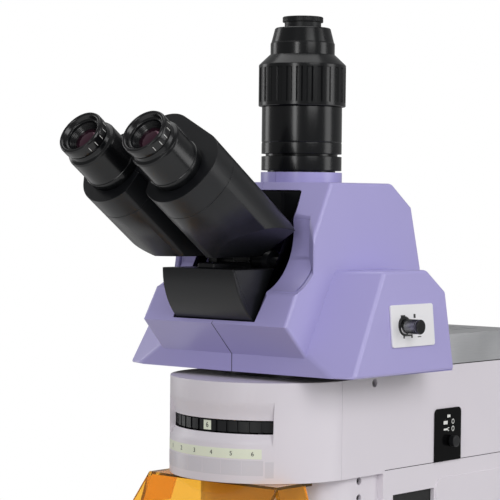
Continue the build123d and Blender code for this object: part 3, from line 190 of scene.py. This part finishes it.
def workedMetal(name, look):
    # bare metal: fine lines, the noise stretched along the lay
    material = newMaterial(name)
    place = addNode(material, "TexCoord")
    lay = addNode(material, "Mapping", {"Vector": (place, "Object"), "Scale": look["lay"]})
    lines = addNoise(material, (lay, "Vector"), look["grain"], 4.0)
    drift = addNoise(material, (place, "Object"), metalDrift, 2.0)
    tone = addTone(material, lines, look["colour"], look["drift"])
    gloss = addGloss(material, drift, look["roughness"] - 0.04, look["roughness"] + 0.05)
    bump = addNode(material, "Bump", {
        "Height": (lines, "Fac"), "Strength": look["strength"], "Distance": look["depth"] * mm})
    shader = addNode(material, "BsdfPrincipled", {
        "Base Color": (tone, "Result"), "Roughness": (gloss, "Result"), "Normal": (bump, "Normal"),
        "Metallic": 1.0})
    return closeMaterial(material, shader)


metals = {
    # stainless sheet of the lamp cover, brushed front to back: pale, with long soft streaks
    "brushedSteel": {"colour": "#DADBDD", "drift": "#C8C9CC", "lay": (1.0, 0.03, 1.0), "grain": 0.35,
                     "roughness": 0.34, "strength": 0.12, "depth": 0.02},
    # satin chrome on objective barrels and slides: bright, almost even
    "satinChrome": {"colour": "#D6D7DA", "drift": "#CCCDD1", "lay": (1.0, 1.0, 0.1), "grain": 0.3,
                    "roughness": 0.22, "strength": 0.06, "depth": 0.01},
    # turned aluminium: silver with fine turning lines
    "turnedAluminium": {"colour": "#C6C8CB", "drift": "#BCBEC2", "lay": (0.1, 1.0, 1.0), "grain": 0.3,
                        "roughness": 0.28, "strength": 0.08, "depth": 0.01},
    # blackened steel screws: dark with a bright wear sheen
    "blackenedSteel": {"colour": "#4A4B4E", "drift": "#3C3D40", "lay": (1.0, 1.0, 1.0), "grain": 0.4,
                       "roughness": 0.36, "strength": 0.10, "depth": 0.01},
}


def coatedGlass(name="coatedGlass", haze=9):
    # optical glass over a dark barrel, with the magenta shine of an anti-reflection coating
    material = newMaterial(name)
    place = addNode(material, "TexCoord")
    tone = addTone(material, addNoise(material, (place, "Object"), haze, 1.0), "#2A0F1C", "#190B16")
    shader = addNode(material, "BsdfPrincipled", {
        "Base Color": (tone, "Result"), "Roughness": 0.05, "IOR": 1.7,
        "Specular Tint": toLinear("#F08AB8"), "Coat Weight": 0.3, "Coat Roughness": 0.03})
    return closeMaterial(material, shader)


def amberAcrylic(name="amberAcrylic", ripple=80):
    # cast acrylic sheet, polished faces: clear amber, a little uneven in tone, darker through two thicknesses
    material = newMaterial(name)
    place = addNode(material, "TexCoord")
    tone = addTone(material, addNoise(material, (place, "Object"), ripple, 1.0), "#FFC247", "#FAB83C")
    shader = addNode(material, "BsdfPrincipled", {
        "Base Color": (tone, "Result"), "Roughness": 0.04, "IOR": 1.49, "Transmission Weight": 0.92})
    return closeMaterial(material, shader, alpha=0.6)


finishes = {name: coatedSurface(name, look) for name, look in coated.items()}
finishes.update({name: workedMetal(name, look) for name, look in metals.items()})
finishes["coatedGlass"] = coatedGlass()
finishes["amberAcrylic"] = amberAcrylic()
finishOfSlot = {
    "white_paint": "enamelWhite", "dark_plate": "satinBlack", "feet": "footRubber", "black_plastic": "mouldedBlack",
    "brushed_metal": "brushedSteel", "bare_aluminium": "turnedAluminium", "lavender_shell": "lilacLacquer",
    "white_plate": "plateWhite", "black_metal": "anodisedBlack", "amber_acrylic": "amberAcrylic",
    "lens_glass": "coatedGlass", "steel_screws": "blackenedSteel", "black_cover": "satinBlack",
    "gloss_black": "polishedBlack", "chrome_barrels": "satinChrome", "steel_shaft": "satinChrome",
    "stage_black": "anodisedBlack",
}
print("materials", len(finishes))


# Pieces

def addPiece(name, mesh, finish, body, slot, angle=35, replaces=()):
    # edges sharper than the angle stay crisp; without an angle the mesh keeps its own shading
    if angle:
        mesh.shade_smooth()
        mesh.set_sharp_from_angle(angle=math.radians(angle))
    piece = bpy.data.objects.new(name, mesh)
    bpy.context.collection.objects.link(piece)
    mesh.materials.clear()
    mesh.materials.append(finishes[finish])
    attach(piece, body)
    if replaces:
        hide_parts(*replaces)
    return piece


def standIn(name, mesh, node, finish=None, angle=35):
    # in the place of a node of the frame, on the same body, with the finish of its slot
    finish = finish or finishOfSlot[slotOf[node]]
    return addPiece(name, mesh, finish, bodyOf[node], slotOf[node], angle, (node,))


for node, shape in frame["nodes"].items():
    for slot in shape.material_slots:
        slot.material = finishes[finishOfSlot[slotOf[node]]]


# Carried-over pieces with softer edges

# lengths in millimetres, angles in degrees; round is the bevel of edges sharper than sharp, ridge that of the
# moulding's long outer ridges
usualEdge = {"steps": 2, "sharp": 30, "clamp": True, "finish": None}
coverEdge = {"round": 0.6, "ridge": 2.6, "ridgeSteps": 4, "long": 14, "bend": 8, "parting": 1}
softEdges = {
    "head_cover_left": coverEdge,
    "head_cover_right": coverEdge,
    "illuminator_body": {"round": 1.0},
    "drum_cover": {"round": 0.7},
    "arm": {"round": 1.2},
    "column": {"round": 1.0},
    "stand_base": {"round": 2.5, "steps": 3},
    "tilt_bracket": {"round": 1.0, "steps": 3, "sharp": 40, "clamp": False},
    "left_eye_arm": {"round": 0.5, "sharp": 50, "clamp": False},
    "right_eye_arm": {"round": 0.5, "sharp": 50, "clamp": False},
    "left_arm_cap": {"round": 0.45, "sharp": 50, "clamp": False},
    "right_arm_cap": {"round": 0.45, "sharp": 50, "clamp": False},
    "lamp_cover": {"round": 1.2},
    "switch_plate": {"round": 0.3},
    "control_panel": {"round": 0.3, "finish": "overlayBlack"},
    "amber_shield": {"round": 0.4},
    "stage_upper_plate": {"round": 0.8},
}


def soften(node, look):
    # the same solid with its hard edges rounded: welded, flat faces joined, edges bevelled
    weld, flat, crisp = 0.002 * mm, math.radians(0.4), 38
    mesh = frame["nodes"][node].data.copy()
    shell = bmesh.new()
    shell.from_mesh(mesh)
    bmesh.ops.remove_doubles(shell, verts=shell.verts, dist=weld)
    bmesh.ops.dissolve_limit(shell, angle_limit=flat, verts=shell.verts, edges=shell.edges)
    if "ridge" in look:
        ridges = [edge for edge in shell.edges if len(edge.link_faces) == 2 and edge.is_convex
                  and edge.calc_face_angle(0) > math.radians(look["bend"])
                  and edge.calc_length() > look["long"] * mm
                  and min(abs(vert.co.x) for vert in edge.verts) > look["parting"] * mm]
        bmesh.ops.bevel(shell, geom=ridges, offset=look["ridge"] * mm, segments=look["ridgeSteps"], profile=0.5,
                        affect="EDGES", clamp_overlap=False)
    sharp = [edge for edge in shell.edges if len(edge.link_faces) == 2
             and edge.calc_face_angle(0) > math.radians(look["sharp"])]
    bmesh.ops.bevel(shell, geom=sharp, offset=look["round"] * mm, segments=look["steps"], profile=0.5,
                    affect="EDGES", clamp_overlap=look["clamp"])
    bmesh.ops.remove_doubles(shell, verts=shell.verts, dist=weld)
    shell.to_mesh(mesh)
    shell.free()
    piece = standIn(node + "_soft", mesh, node, look["finish"], crisp)
    piece.modifiers.new("flatFaces", "WEIGHTED_NORMAL").keep_sharp = True


for node, look in softEdges.items():
    soften(node, usualEdge | look)
print("edges softened", len(softEdges))


# Pull rods

pullRods = {
    # the rods stand further in than their solids: from this x on, outwards by this share
    "switch_slider": {"from": 112.7, "to": 110.9, "share": 12.8 / 19},
    "shutter_slider": {"from": 76.0, "to": 76.0, "share": 0.42},
}


def readPoints(mesh):
    flat = np.empty(len(mesh.vertices) * 3)
    mesh.vertices.foreach_get("co", flat)
    return flat.reshape(-1, 3)


def writePoints(mesh, points):
    mesh.vertices.foreach_set("co", points.ravel())
    mesh.update()


def drawIn(node, look):
    # past the collar, x becomes to + (x - from) * share
    slack = 0.01
    mesh = frame["nodes"][node].data.copy()
    points = readPoints(mesh) / mm
    x = points[:, 0]
    points[:, 0] = np.where(x > look["from"] - slack, look["to"] + (x - look["from"]) * look["share"], x)
    writePoints(mesh, points * mm)
    standIn(node + "_drawn", mesh, node, angle=None)


for node, look in pullRods.items():
    drawIn(node, look)
print("pull rods drawn in", len(pullRods))


# New surfaces

def meshFrom(name, points, closeRound=True):
    # points is a grid, rows by columns by 3, in millimetres; quads join neighbours, the last column the first
    weld, sliver = 0.001 * mm, 0.0005 * mm
    rows, columns = points.shape[:2]
    index = np.arange(rows * columns).reshape(rows, columns)
    if closeRound:
        index = np.hstack([index, index[:, :1]])
    quads = np.stack([index[:-1, :-1], index[:-1, 1:], index[1:, 1:], index[1:, :-1]], -1).reshape(-1, 4)
    mesh = bpy.data.meshes.new(name)
    mesh.from_pydata((points * mm).reshape(-1, 3).tolist(), [], quads.tolist())
    shell = bmesh.new()
    shell.from_mesh(mesh)
    bmesh.ops.remove_doubles(shell, verts=shell.verts, dist=weld)
    bmesh.ops.dissolve_degenerate(shell, edges=shell.edges, dist=sliver)
    shell.to_mesh(mesh)
    shell.free()
    return mesh


def roundedProfile(points, radius, steps=4, most=0.45):
    # corners of an open profile become quadratic arcs, from one side of the corner to the other; an arc takes
    # the radius, or at most this share of a side
    points = np.asarray(points, float)
    out = [points[:1]]
    t = np.linspace(0, 1, steps + 1)[:, None]
    for before, corner, after in zip(points[:-2], points[1:-1], points[2:]):
        into, away = before - corner, after - corner
        trim = min(radius, np.linalg.norm(into) * most, np.linalg.norm(away) * most)
        start = corner + into / np.linalg.norm(into) * trim
        end = corner + away / np.linalg.norm(away) * trim
        out.append((1 - t) ** 2 * start + 2 * t * (1 - t) * corner + t ** 2 * end)
    out.append(points[-1:])
    return np.vstack(out)


def turnedMesh(name, look, place):
    # a profile (r, h) carried round an axis: point = origin + r cos(turn) x + r sin(turn) y + h z;
    # flutes press the radius in between the heights from and to, where it is larger than over
    line = roundedProfile(look["profile"], look["radius"])
    steps = look.get("steps", 96)
    turn = np.arange(steps) / steps * 2 * np.pi
    r = np.repeat(line[:, :1], steps, axis=1)
    h = np.repeat(line[:, 1:], steps, axis=1)
    if "flutes" in look:
        flutes = look["flutes"]
        wave = np.cos(turn * flutes["count"]) * 0.5 + 0.5
        press = np.clip((wave - flutes["land"]) / flutes["wall"], 0, 1)[None, :] * flutes["depth"]
        inside = ((h > flutes["from"]) & (h < flutes["to"]) & (r > flutes["over"])).astype(float)
        r = r - press * inside
    origin, x, y, z = place
    return meshFrom(name, origin + (r * np.cos(turn))[..., None] * x + (r * np.sin(turn))[..., None] * y
                    + h[..., None] * z)


# Eyepieces

# profiles (r, h) in millimetres, h along the eyepiece from its rim
eyepiece = {
    "rim": (30.6, -213.6, 569.5), "incline": 35,
    "turned": {
        "DiopterRing": {"node": "diopter_ring", "finish": "polishedBlack", "radius": 0.5, "profile": [
            (13.7, -9.0), (17.0, -9.0), (17.1, -7.7), (18.05, -7.2), (18.05, -1.6), (17.3, 0.0), (15.6, 0.0),
            (14.9, -1.0), (13.9, -3.0), (13.7, -3.0), (13.7, -9.0)]},
        "EyeBarrel": {"node": "eye_tube", "finish": "anodisedBlack", "radius": 0.25, "profile": [
            (9.2, -58.8), (10.9, -58.8), (10.9, -45.0), (19.2, -45.0), (19.2, -42.6), (20.4, -42.4), (20.4, -37.0),
            (19.8, -36.6), (19.8, -15.2), (19.2, -13.6), (17.3, -12.6), (17.0, -9.4), (13.55, -9.4), (13.55, -2.9),
            (12.6, -3.6), (12.2, -5.0)]},
        "EyeLens": {"node": "eye_lens", "finish": "coatedGlass", "radius": 0.3, "profile": [
            (0.0, -9.6), (9.15, -9.6), (9.15, -8.9), (8.4, -8.2), (6.8, -7.5), (5.0, -7.0), (3.0, -6.7),
            (1.2, -6.58), (0.0, -6.55)]},
    },
    # fine steps inside the barrel that catch a little light, then the bore
    "baffle": {"count": 7, "from": (12.2, -5.0), "inward": 0.32, "back": 0.42, "tooth": 0.14,
               "bore": [(9.2, -8.8), (9.2, -58.8)]},
    "ticks": {"angles": (34, 15, -4, -23, -42), "radius": 18.08, "width": 0.36, "low": -6.9, "high": -3.0},
}


def baffledProfile(outside, baffle):
    # step i: radius falls by inward, every other one stands out by a tooth
    i = np.arange(1, baffle["count"] + 1)
    radius, height = baffle["from"]
    steps = np.stack([radius - baffle["inward"] * i + baffle["tooth"] * (i % 2), height - baffle["back"] * i], -1)
    return np.vstack([outside, steps, baffle["bore"]])


eyepiece["turned"]["EyeBarrel"]["profile"] = baffledProfile(
    eyepiece["turned"]["EyeBarrel"]["profile"], eyepiece["baffle"])


def makeEyepiece(side, hand):
    # x to the user's right, y up across the arm, z out of the eyepiece
    incline = math.radians(eyepiece["incline"])
    x = np.array([1.0, 0, 0])
    y = np.array([0, math.sin(incline), math.cos(incline)])
    z = np.array([0, -math.cos(incline), math.sin(incline)])
    rim = np.array(eyepiece["rim"]) * (side, 1, 1)
    for name, look in eyepiece["turned"].items():
        mesh = turnedMesh(hand + name, look, (rim, x, y, z))
        standIn(hand + name, mesh, hand + "_" + look["node"], look["finish"])
    tick = eyepiece["ticks"]
    ring = hand + "_diopter_ring"
    h = np.array([tick["low"], tick["high"]])[:, None, None]
    for number, angle in enumerate(tick["angles"]):
        # a curved strip: round the ring by its width, along it from low to high
        turn = (np.radians(angle) + np.linspace(-0.5, 0.5, 3) * tick["width"] / tick["radius"])[:, None]
        grid = rim + tick["radius"] * (np.cos(turn) * x + np.sin(turn) * y) + h * z
        addPiece(f"{hand}Tick{number + 1}", meshFrom("tick", grid, closeRound=False), "inkWhite", bodyOf[ring],
                 slotOf[ring])


for side, hand in ((1, "right"), (-1, "left")):
    makeEyepiece(side, hand)
print("eyepieces")


# Camera adapter on the vertical port

adapter = {
    "portCollar": {"node": "port_collar", "finish": "anodisedBlack", "radius": 0.35, "steps": 128, "profile": [
        (19.0, 512.0), (26.4, 512.0), (26.4, 545.7), (31.2, 545.7), (31.2, 556.6), (19.0, 556.6), (19.0, 512.0)]},
    "adapterBarrel": {"node": "adapter_barrel", "finish": "anodisedBlack", "radius": 0.3, "steps": 128, "profile": [
        (19.0, 556.6), (28.0, 556.6), (28.0, 558.6), (31.2, 558.6), (31.2, 566.9), (30.7, 567.4), (31.2, 567.9),
        (31.2, 595.0), (27.0, 595.0), (27.0, 621.4), (19.0, 621.4), (19.0, 556.6)]},
    "adapterRing": {"node": "adapter_ring", "finish": "anodisedBlack", "radius": 0.25, "steps": 416, "crisp": 30,
                    "flutes": {"count": 26, "depth": 1.5, "land": 0.42, "wall": 0.18, "from": 598.5, "to": 625.0,
                               "over": 32.0},
                    "profile": [
        (27.05, 595.3), (33.5, 595.3), (33.9, 595.9), (33.9, 598.3), (33.9, 598.8), (33.9, 624.6), (33.9, 625.1),
        (33.9, 627.3), (33.4, 627.9), (25.5, 635.4), (25.05, 635.4), (25.05, 626.0), (27.05, 624.0),
        (27.05, 595.3)]},
    "adapterThroat": {"node": "adapter_throat", "finish": "anodisedBlack", "radius": 0.3, "steps": 128, "profile": [
        (12.7, 622.9), (25.0, 622.9), (25.0, 644.2), (24.6, 644.7), (24.4, 645.0), (21.7, 655.5), (20.9, 656.3),
        (12.7, 656.3), (12.7, 622.9)]},
    "dustCap": {"node": "dust_cap", "finish": "mouldedBlack", "radius": 0.2, "steps": 448, "crisp": 30,
                "flutes": {"count": 56, "depth": 0.45, "land": 0.5, "wall": 0.18, "from": 661.1, "to": 664.7,
                           "over": 15.2},
                "profile": [
        (0.0, 658.3), (10.2, 658.3), (10.2, 652.3), (12.65, 652.3), (12.65, 656.4), (14.2, 656.4), (14.2, 660.8),
        (15.7, 660.8), (15.8, 661.3), (15.8, 664.5), (15.3, 665.0), (13.4, 665.0), (12.9, 664.6), (0.0, 664.6)]},
}
upright = (np.zeros(3), *np.eye(3))
for name, look in adapter.items():
    standIn(name, turnedMesh(name, look, upright), look["node"], look["finish"], look.get("crisp", 35))
print("camera adapter")


# Drum front: numbered band, ruled window, numbers on the turret

# angles in degrees from the front, towards the user's right
drum = {
    "centre": (0.0, -40.2), "radius": 73.5, "first": -32.0, "step": 12.8, "digit": 4.6, "figureLift": 0.18,
    "band": {"from": -58.0, "to": 37.3, "low": 333.2, "high": 340.6, "lift": 0.12},
    "window": {"from": -58.0, "to": 38.2, "low": 321.0, "high": 332.4, "lift": 0.10},
    "patch": {"from": 39.2, "to": 44.2, "low": 319.5, "high": 331.5, "lift": 0.08},
    "rules": {"angles": (-48.0, -38.4, -25.6, -12.8, 0.0, 12.8, 25.6), "half": 0.12, "inset": 0.6, "lift": 0.05},
}
turret = {"radius": 68.1, "places": 6, "front": 6, "label": 7.2, "z": 356.0, "lift": 0.12, "digit": 5.4}


def drumPoint(angle, z, radius):
    turn = np.radians(angle)
    return np.stack([drum["centre"][0] + radius * np.sin(turn), drum["centre"][1] - radius * np.cos(turn), z], -1)


def wrappedStrip(name, look, radius, steps=24):
    # a thin film on the drum: angle and height across it, its rim turned in below the drum's surface
    rim, tuck = 0.15, -0.05
    angles = np.linspace(look["from"], look["to"], steps)
    angle = np.concatenate([angles[:1], angles, angles[-1:]])
    heights = np.array([look["low"], look["low"] + rim, look["high"] - rim, look["high"]])
    lift = np.full((len(heights), len(angle)), look["lift"])
    lift[[0, -1], :] = tuck
    lift[:, [0, -1]] = tuck
    points = drumPoint(np.repeat(angle[None, :], len(heights), 0), np.repeat(heights[:, None], len(angle), 1),
                       radius + lift)
    return meshFrom(name, points, closeRound=False)


def wrapDigit(text, size, angle, z, radius):
    # a printed figure laid round the drum: angle + x / radius, z + y
    thick = 0.03
    curve = bpy.data.curves.new("digit" + text, "FONT")
    curve.body = text
    curve.size = size
    curve.align_x = "CENTER"
    curve.align_y = "CENTER"
    curve.extrude = thick
    holder = bpy.data.objects.new("digit" + text, curve)
    mesh = bpy.data.meshes.new_from_object(holder)
    bpy.data.objects.remove(holder)
    bpy.data.curves.remove(curve)
    flat = readPoints(mesh)
    writePoints(mesh, drumPoint(angle + np.degrees(flat[:, 0] / radius), z + flat[:, 1], radius + flat[:, 2]) * mm)
    return mesh


def makeDrumFilms():
    radius, window, rules = drum["radius"], drum["window"], drum["rules"]
    place = ("stand", "white_plate")
    addPiece("numberBand", wrappedStrip("numberBand", drum["band"], radius), "labelGreen", *place)
    addPiece("ruledWindow", wrappedStrip("ruledWindow", window, radius), "frostedFilm", *place)
    addPiece("blankPatch", wrappedStrip("blankPatch", drum["patch"], radius, 4), "frostedFilm", *place)
    for number, angle in enumerate(rules["angles"]):
        rule = {"from": angle - rules["half"], "to": angle + rules["half"], "low": window["low"] + rules["inset"],
                "high": window["high"] - rules["inset"], "lift": window["lift"] + rules["lift"]}
        addPiece(f"windowRule{number + 1}", wrappedStrip("rule", rule, radius, 2), "enamelWhite", *place)


def makeBandNumber(number):
    angle = drum["first"] + drum["step"] * number
    middle = (drum["band"]["low"] + drum["band"]["high"]) / 2
    figure = wrapDigit(str(number + 1), drum["digit"], angle, middle, drum["radius"] + drum["figureLift"])
    addPiece(f"bandNumber{number + 1}", figure, "inkBlack", "stand", "white_plate")


def makeTurretLabel(number):
    # at rest the drum's slot shows the turret's front figure
    place = ("filter_turret", "black_plastic")
    radius, half, places = turret["radius"], turret["label"] / 2, turret["places"]
    angle, wide = 360 / places * number, np.degrees(half / radius)
    film = {"from": angle - wide, "to": angle + wide, "low": turret["z"] - half, "high": turret["z"] + half,
            "lift": turret["lift"]}
    addPiece(f"turretLabel{number + 1}", wrappedStrip("turretLabel", film, radius, 5), "labelGreen", *place)
    text = str((number + turret["front"] - 1) % places + 1)
    figure = wrapDigit(text, turret["digit"], angle, turret["z"], radius + drum["figureLift"])
    addPiece(f"turretNumber{number + 1}", figure, "inkBlack", *place)


makeDrumFilms()
for number in range(turret["places"]):
    makeBandNumber(number)
    makeTurretLabel(number)
print("drum front")


# Sides: marks as (y, z, wide, high), all in millimetres

selector = {
    # the housing leans: its outer face stands at x = top + lean * (z0 - z), and the plate lies on it
    "face": {"top": 103.0, "lean": 7.0 / 77.0, "z0": 471.0, "plate": 1.67},
    "marks": [(-12.5, 436.8, 5.6, 3.2), (2.3, 437.2, 2.6, 3.0), (-7.6, 423.2, 12.0, 1.3), (-12.6, 421.9, 1.8, 1.6),
              (-2.6, 421.9, 1.8, 1.6), (7.0, 421.6, 4.6, 0.7), (9.6, 431.6, 3.0, 3.2)],
    "axis": (-11.5, 430.2),
    "sleeve": {"radius": 0.2, "steps": 272,
               "flutes": {"count": 34, "depth": 0.5, "land": 0.45, "wall": 0.18, "from": 111.3, "to": 120.7,
                          "over": 5.2},
               "profile": [(4.8, 110.6), (5.0, 110.6), (5.45, 111.2), (5.45, 120.8), (5.1, 121.3), (4.8, 121.3),
                           (4.8, 110.6)]},
    "end": {"radius": 0.2, "profile": [
        (4.6, 121.5), (5.2, 121.5), (5.5, 121.9), (5.5, 123.3), (5.1, 123.9), (0.0, 123.9), (0.0, 123.72),
        (4.6, 123.72), (4.6, 121.5)]},
    "collar": {"radius": 0.3, "profile": [
        (4.7, 107.6), (7.4, 107.6), (7.4, 108.9), (6.7, 109.6), (4.7, 109.6), (4.7, 107.6)]},
}
panel = {
    "x": 75.06,
    "marks": [(97.2, 352.6, 4.2, 2.2), (92.8, 347.6, 5.6, 2.8), (94.2, 342.2, 7.6, 1.5), (97.0, 342.2, 2.0, 2.8)],
    "rings": [(103.2, 348.0), (103.2, 342.3)], "inner": 1.35, "outer": 1.95, "stretch": 1.05,
}
# painted shade: thin dark strips for the shadow in the seam of arm and illuminator, in the gap under the lamp cover
# and inside the slot on the arm's side
shadeLines = {
    "seamShade": {"x": 73.55, "from": 14.0, "to": 197.0, "z": 317.0, "high": 0.55},
    "lampSeamShade": {"x": 73.1, "from": 75.0, "to": 204.0, "z": 393.35, "high": 0.7},
    "slot": {"x": 70.3, "from": 25.2, "to": 79.8, "z": 291.0, "high": 11.6},
}
namePanel = {"x": 73.5, "y": (82.0, 190.0), "z": (267.0, 304.0), "corner": 8.0, "lift": 0.7}
coverPartingShade = {"half": 0.3, "path": [(-102.7, 433.66), (-104.72, 430.98), (-81.26, 407.35), (-81.26, 394.1)]}


def flatPatch(name, mark, surface):
    # a flat quad that faces out: surface gives x from z
    y, z, wide, high = mark
    half = np.array([-0.5, 0.5])
    zGrid, yGrid = np.meshgrid(z + half * high, y + half * wide, indexing="ij")
    return meshFrom(name, np.stack([surface(zGrid), yGrid, zGrid], -1), closeRound=False)


def flatRing(name, y, z, look, steps=24):
    # an annulus, a little taller than wide: y + r cos(turn), z + stretch r sin(turn)
    turn = np.arange(steps) / steps * 2 * np.pi
    radius = np.array([look["outer"], look["inner"]])[:, None]
    return meshFrom(name, np.stack([np.full((2, steps), look["x"]), y + radius * np.cos(turn),
                                    z + radius * look["stretch"] * np.sin(turn)], -1))


def raisedPanel(name, look, side, steps=64):
    # a rounded rectangle: rings from below the arm's face up to the flat top, then in to its middle
    (front, rear), (low, high), corner, top = look["y"], look["z"], look["corner"], look["lift"]
    middleY, middleZ = (front + rear) / 2, (low + high) / 2
    reachY, reachZ = (rear - front) / 2 - corner, (high - low) / 2 - corner
    turn = (np.arange(steps) + 0.5) / steps * 2 * np.pi
    rings = []
    for radius, lift in ((corner, -0.3), (corner, top * 0.6), (corner - 0.3, top), (0.5, top)):
        rings.append(np.stack([
            np.full(steps, side * (look["x"] + lift)),
            middleY + np.sign(np.cos(turn)) * reachY + radius * np.cos(turn),
            middleZ + np.sign(np.sin(turn)) * reachZ + radius * np.sin(turn)], -1))
    centre = np.array([side * (look["x"] + top), middleY, middleZ])
    points = np.array(rings + [np.repeat(centre[None, :], steps, 0)])
    return meshFrom(name, points[:, ::side])


def makeSelector():
    face, slider = selector["face"], bodyOf["switch_slider"]

    def housing(z):
        return face["top"] + face["lean"] * (face["z0"] - z) + face["plate"]

    for number, mark in enumerate(selector["marks"]):
        addPiece(f"plateMark{number + 1}", flatPatch("plateMark", mark, housing), "inkBlack", "stand",
                 "white_plate")
    x, y, z = np.eye(3)
    place = (np.array([0.0, *selector["axis"]]), y, z, x)
    addPiece("selectorSleeve", turnedMesh("selectorSleeve", selector["sleeve"], place), "anodisedBlack", slider,
             "steel_shaft", angle=30)
    addPiece("selectorEnd", turnedMesh("selectorEnd", selector["end"], place), "polishedBlack", slider,
             "steel_shaft")
    addPiece("selectorCollar", turnedMesh("selectorCollar", selector["collar"], place), "mouldedBlack", "stand",
             "white_plate")


def makePanelMarks():
    place = ("stand", slotOf["control_panel"])
    for number, mark in enumerate(panel["marks"]):
        mesh = flatPatch("panelMark", mark, lambda z: np.full_like(z, panel["x"]))
        addPiece(f"panelMark{number + 1}", mesh, "inkWhite", *place)
    for number, (y, z) in enumerate(panel["rings"]):
        addPiece(f"panelRing{number + 1}", flatRing("panelRing", y, z, panel), "inkWhite", *place)


def makeSideLines():
    place = ("stand", "white_paint")
    hands = ((1, "Right"), (-1, "Left"))
    # each line is a strip of painted shade, on both sides
    for name, look in shadeLines.items():
        for side, hand in hands:
            mark = ((look["from"] + look["to"]) / 2, look["z"], (look["to"] - look["from"]) * side, look["high"])
            mesh = flatPatch(name, mark, lambda z: np.full_like(z, side * look["x"]))
            addPiece(name + hand, mesh, "gapShadeBlack", *place)
    for side, hand in hands:
        addPiece("namePanel" + hand, raisedPanel("namePanel", namePanel, side), "enamelWhite", *place)


def makeCoverPartingShade():
    # painted shade in the parting line of the two head covers: a thin dark strip down the front, just off the face
    node = "head_cover_left"
    half, path = coverPartingShade["half"], np.array(coverPartingShade["path"])
    grid = np.stack([np.insert(path, 0, x, axis=1) for x in (half, -half)], 1)
    addPiece("coverPartingShade", meshFrom("coverPartingShade", grid, closeRound=False), "gapShadeBlack", bodyOf[node],
             slotOf[node])


makeSelector()
makePanelMarks()
makeSideLines()
makeCoverPartingShade()
print("side details")


# Studio: a white room, five soft lamps, lengths in metres and power in watts

studio = {
    "fill": 0.30, "floorRadius": 1.4, "paper": "#A8A8A8", "paperLift": 0.66,
    "lamps": {
        "keyLamp": {"place": (1.6, -0.6, 1.3), "wide": 0.9, "high": 0.9, "power": 11, "aim": (0, -0.05, 0.45)},
        "frontLamp": {"place": (0.65, -1.95, 0.9), "wide": 0.35, "high": 1.3, "power": 11, "aim": (0, -0.05, 0.45)},
        "rightLamp": {"place": (1.6, 0.9, 0.8), "wide": 0.7, "high": 1.5, "power": 10, "aim": (0, 0, 0.45)},
        "leftLamp": {"place": (-1.9, -0.35, 0.8), "wide": 0.6, "high": 1.5, "power": 7, "aim": (0, -0.05, 0.45)},
        "topLamp": {"place": (-0.3, 0.2, 1.9), "wide": 1.2, "high": 1.2, "power": 7, "aim": (0, 0, 0.4)},
    },
}


def makeWorld():
    # the fill lights the object; the camera, also through glass, sees white
    world = bpy.data.worlds.new("studioWorld")
    world.use_nodes = True
    world.node_tree.nodes.clear()
    path = addNode(world, "LightPath")
    rays = {0: (path, "Is Camera Ray"), 1: (path, "Is Transmission Ray")}
    seen = addNode(world, "Math", rays, operation="MAXIMUM")
    level = addNode(world, "MapRange", {"Value": (seen, 0), "To Min": studio["fill"], "To Max": 1.0})
    white = addNode(world, "Background", {"Color": (1, 1, 1, 1), "Strength": (level, "Result")})
    addNode(world, "OutputWorld", {"Surface": (white, 0)})
    bpy.context.scene.world = world


def makeLamps():
    for name, lamp in studio["lamps"].items():
        data = bpy.data.lights.new(name, "AREA")
        data.shape = "RECTANGLE"
        data.size = lamp["wide"]
        data.size_y = lamp["high"]
        data.energy = lamp["power"]
        light = bpy.data.objects.new(name, data)
        light.location = lamp["place"]
        light.rotation_euler = (Vector(lamp["aim"]) - Vector(lamp["place"])).to_track_quat("-Z", "Y").to_euler()
        bpy.context.collection.objects.link(light)


def makeFloor(steps=96):
    # grey paper that takes the shadow; what a camera, a mirror or glass sees of it is lifted to the white behind
    turn = np.arange(steps) / steps * 2 * np.pi
    rim = np.stack([np.cos(turn), np.sin(turn), 0 * turn], -1) * studio["floorRadius"]
    mesh = bpy.data.meshes.new("studioFloor")
    mesh.from_pydata(rim.tolist(), [], [tuple(range(steps))])
    floor = bpy.data.objects.new("studioFloor", mesh)
    bpy.context.collection.objects.link(floor)
    paper = newMaterial("studioPaper")
    path = addNode(paper, "LightPath")
    seen = addNode(paper, "Math", {0: (path, "Is Camera Ray"), 1: (path, "Is Glossy Ray")}, operation="MAXIMUM")
    seen = addNode(paper, "Math", {0: (seen, 0), 1: (path, "Is Transmission Ray")}, operation="MAXIMUM")
    lift = addNode(paper, "Math", {0: (seen, 0), 1: studio["paperLift"]}, operation="MULTIPLY")
    shader = addNode(paper, "BsdfPrincipled", {
        "Base Color": toLinear(studio["paper"]), "Roughness": 0.9, "Emission Color": (1, 1, 1, 1),
        "Emission Strength": (lift, 0)})
    closeMaterial(paper, shader)
    mesh.materials.append(paper)


makeWorld()
makeLamps()
makeFloor()
bpy.context.scene.view_settings.view_transform = "Standard"
print("studio")
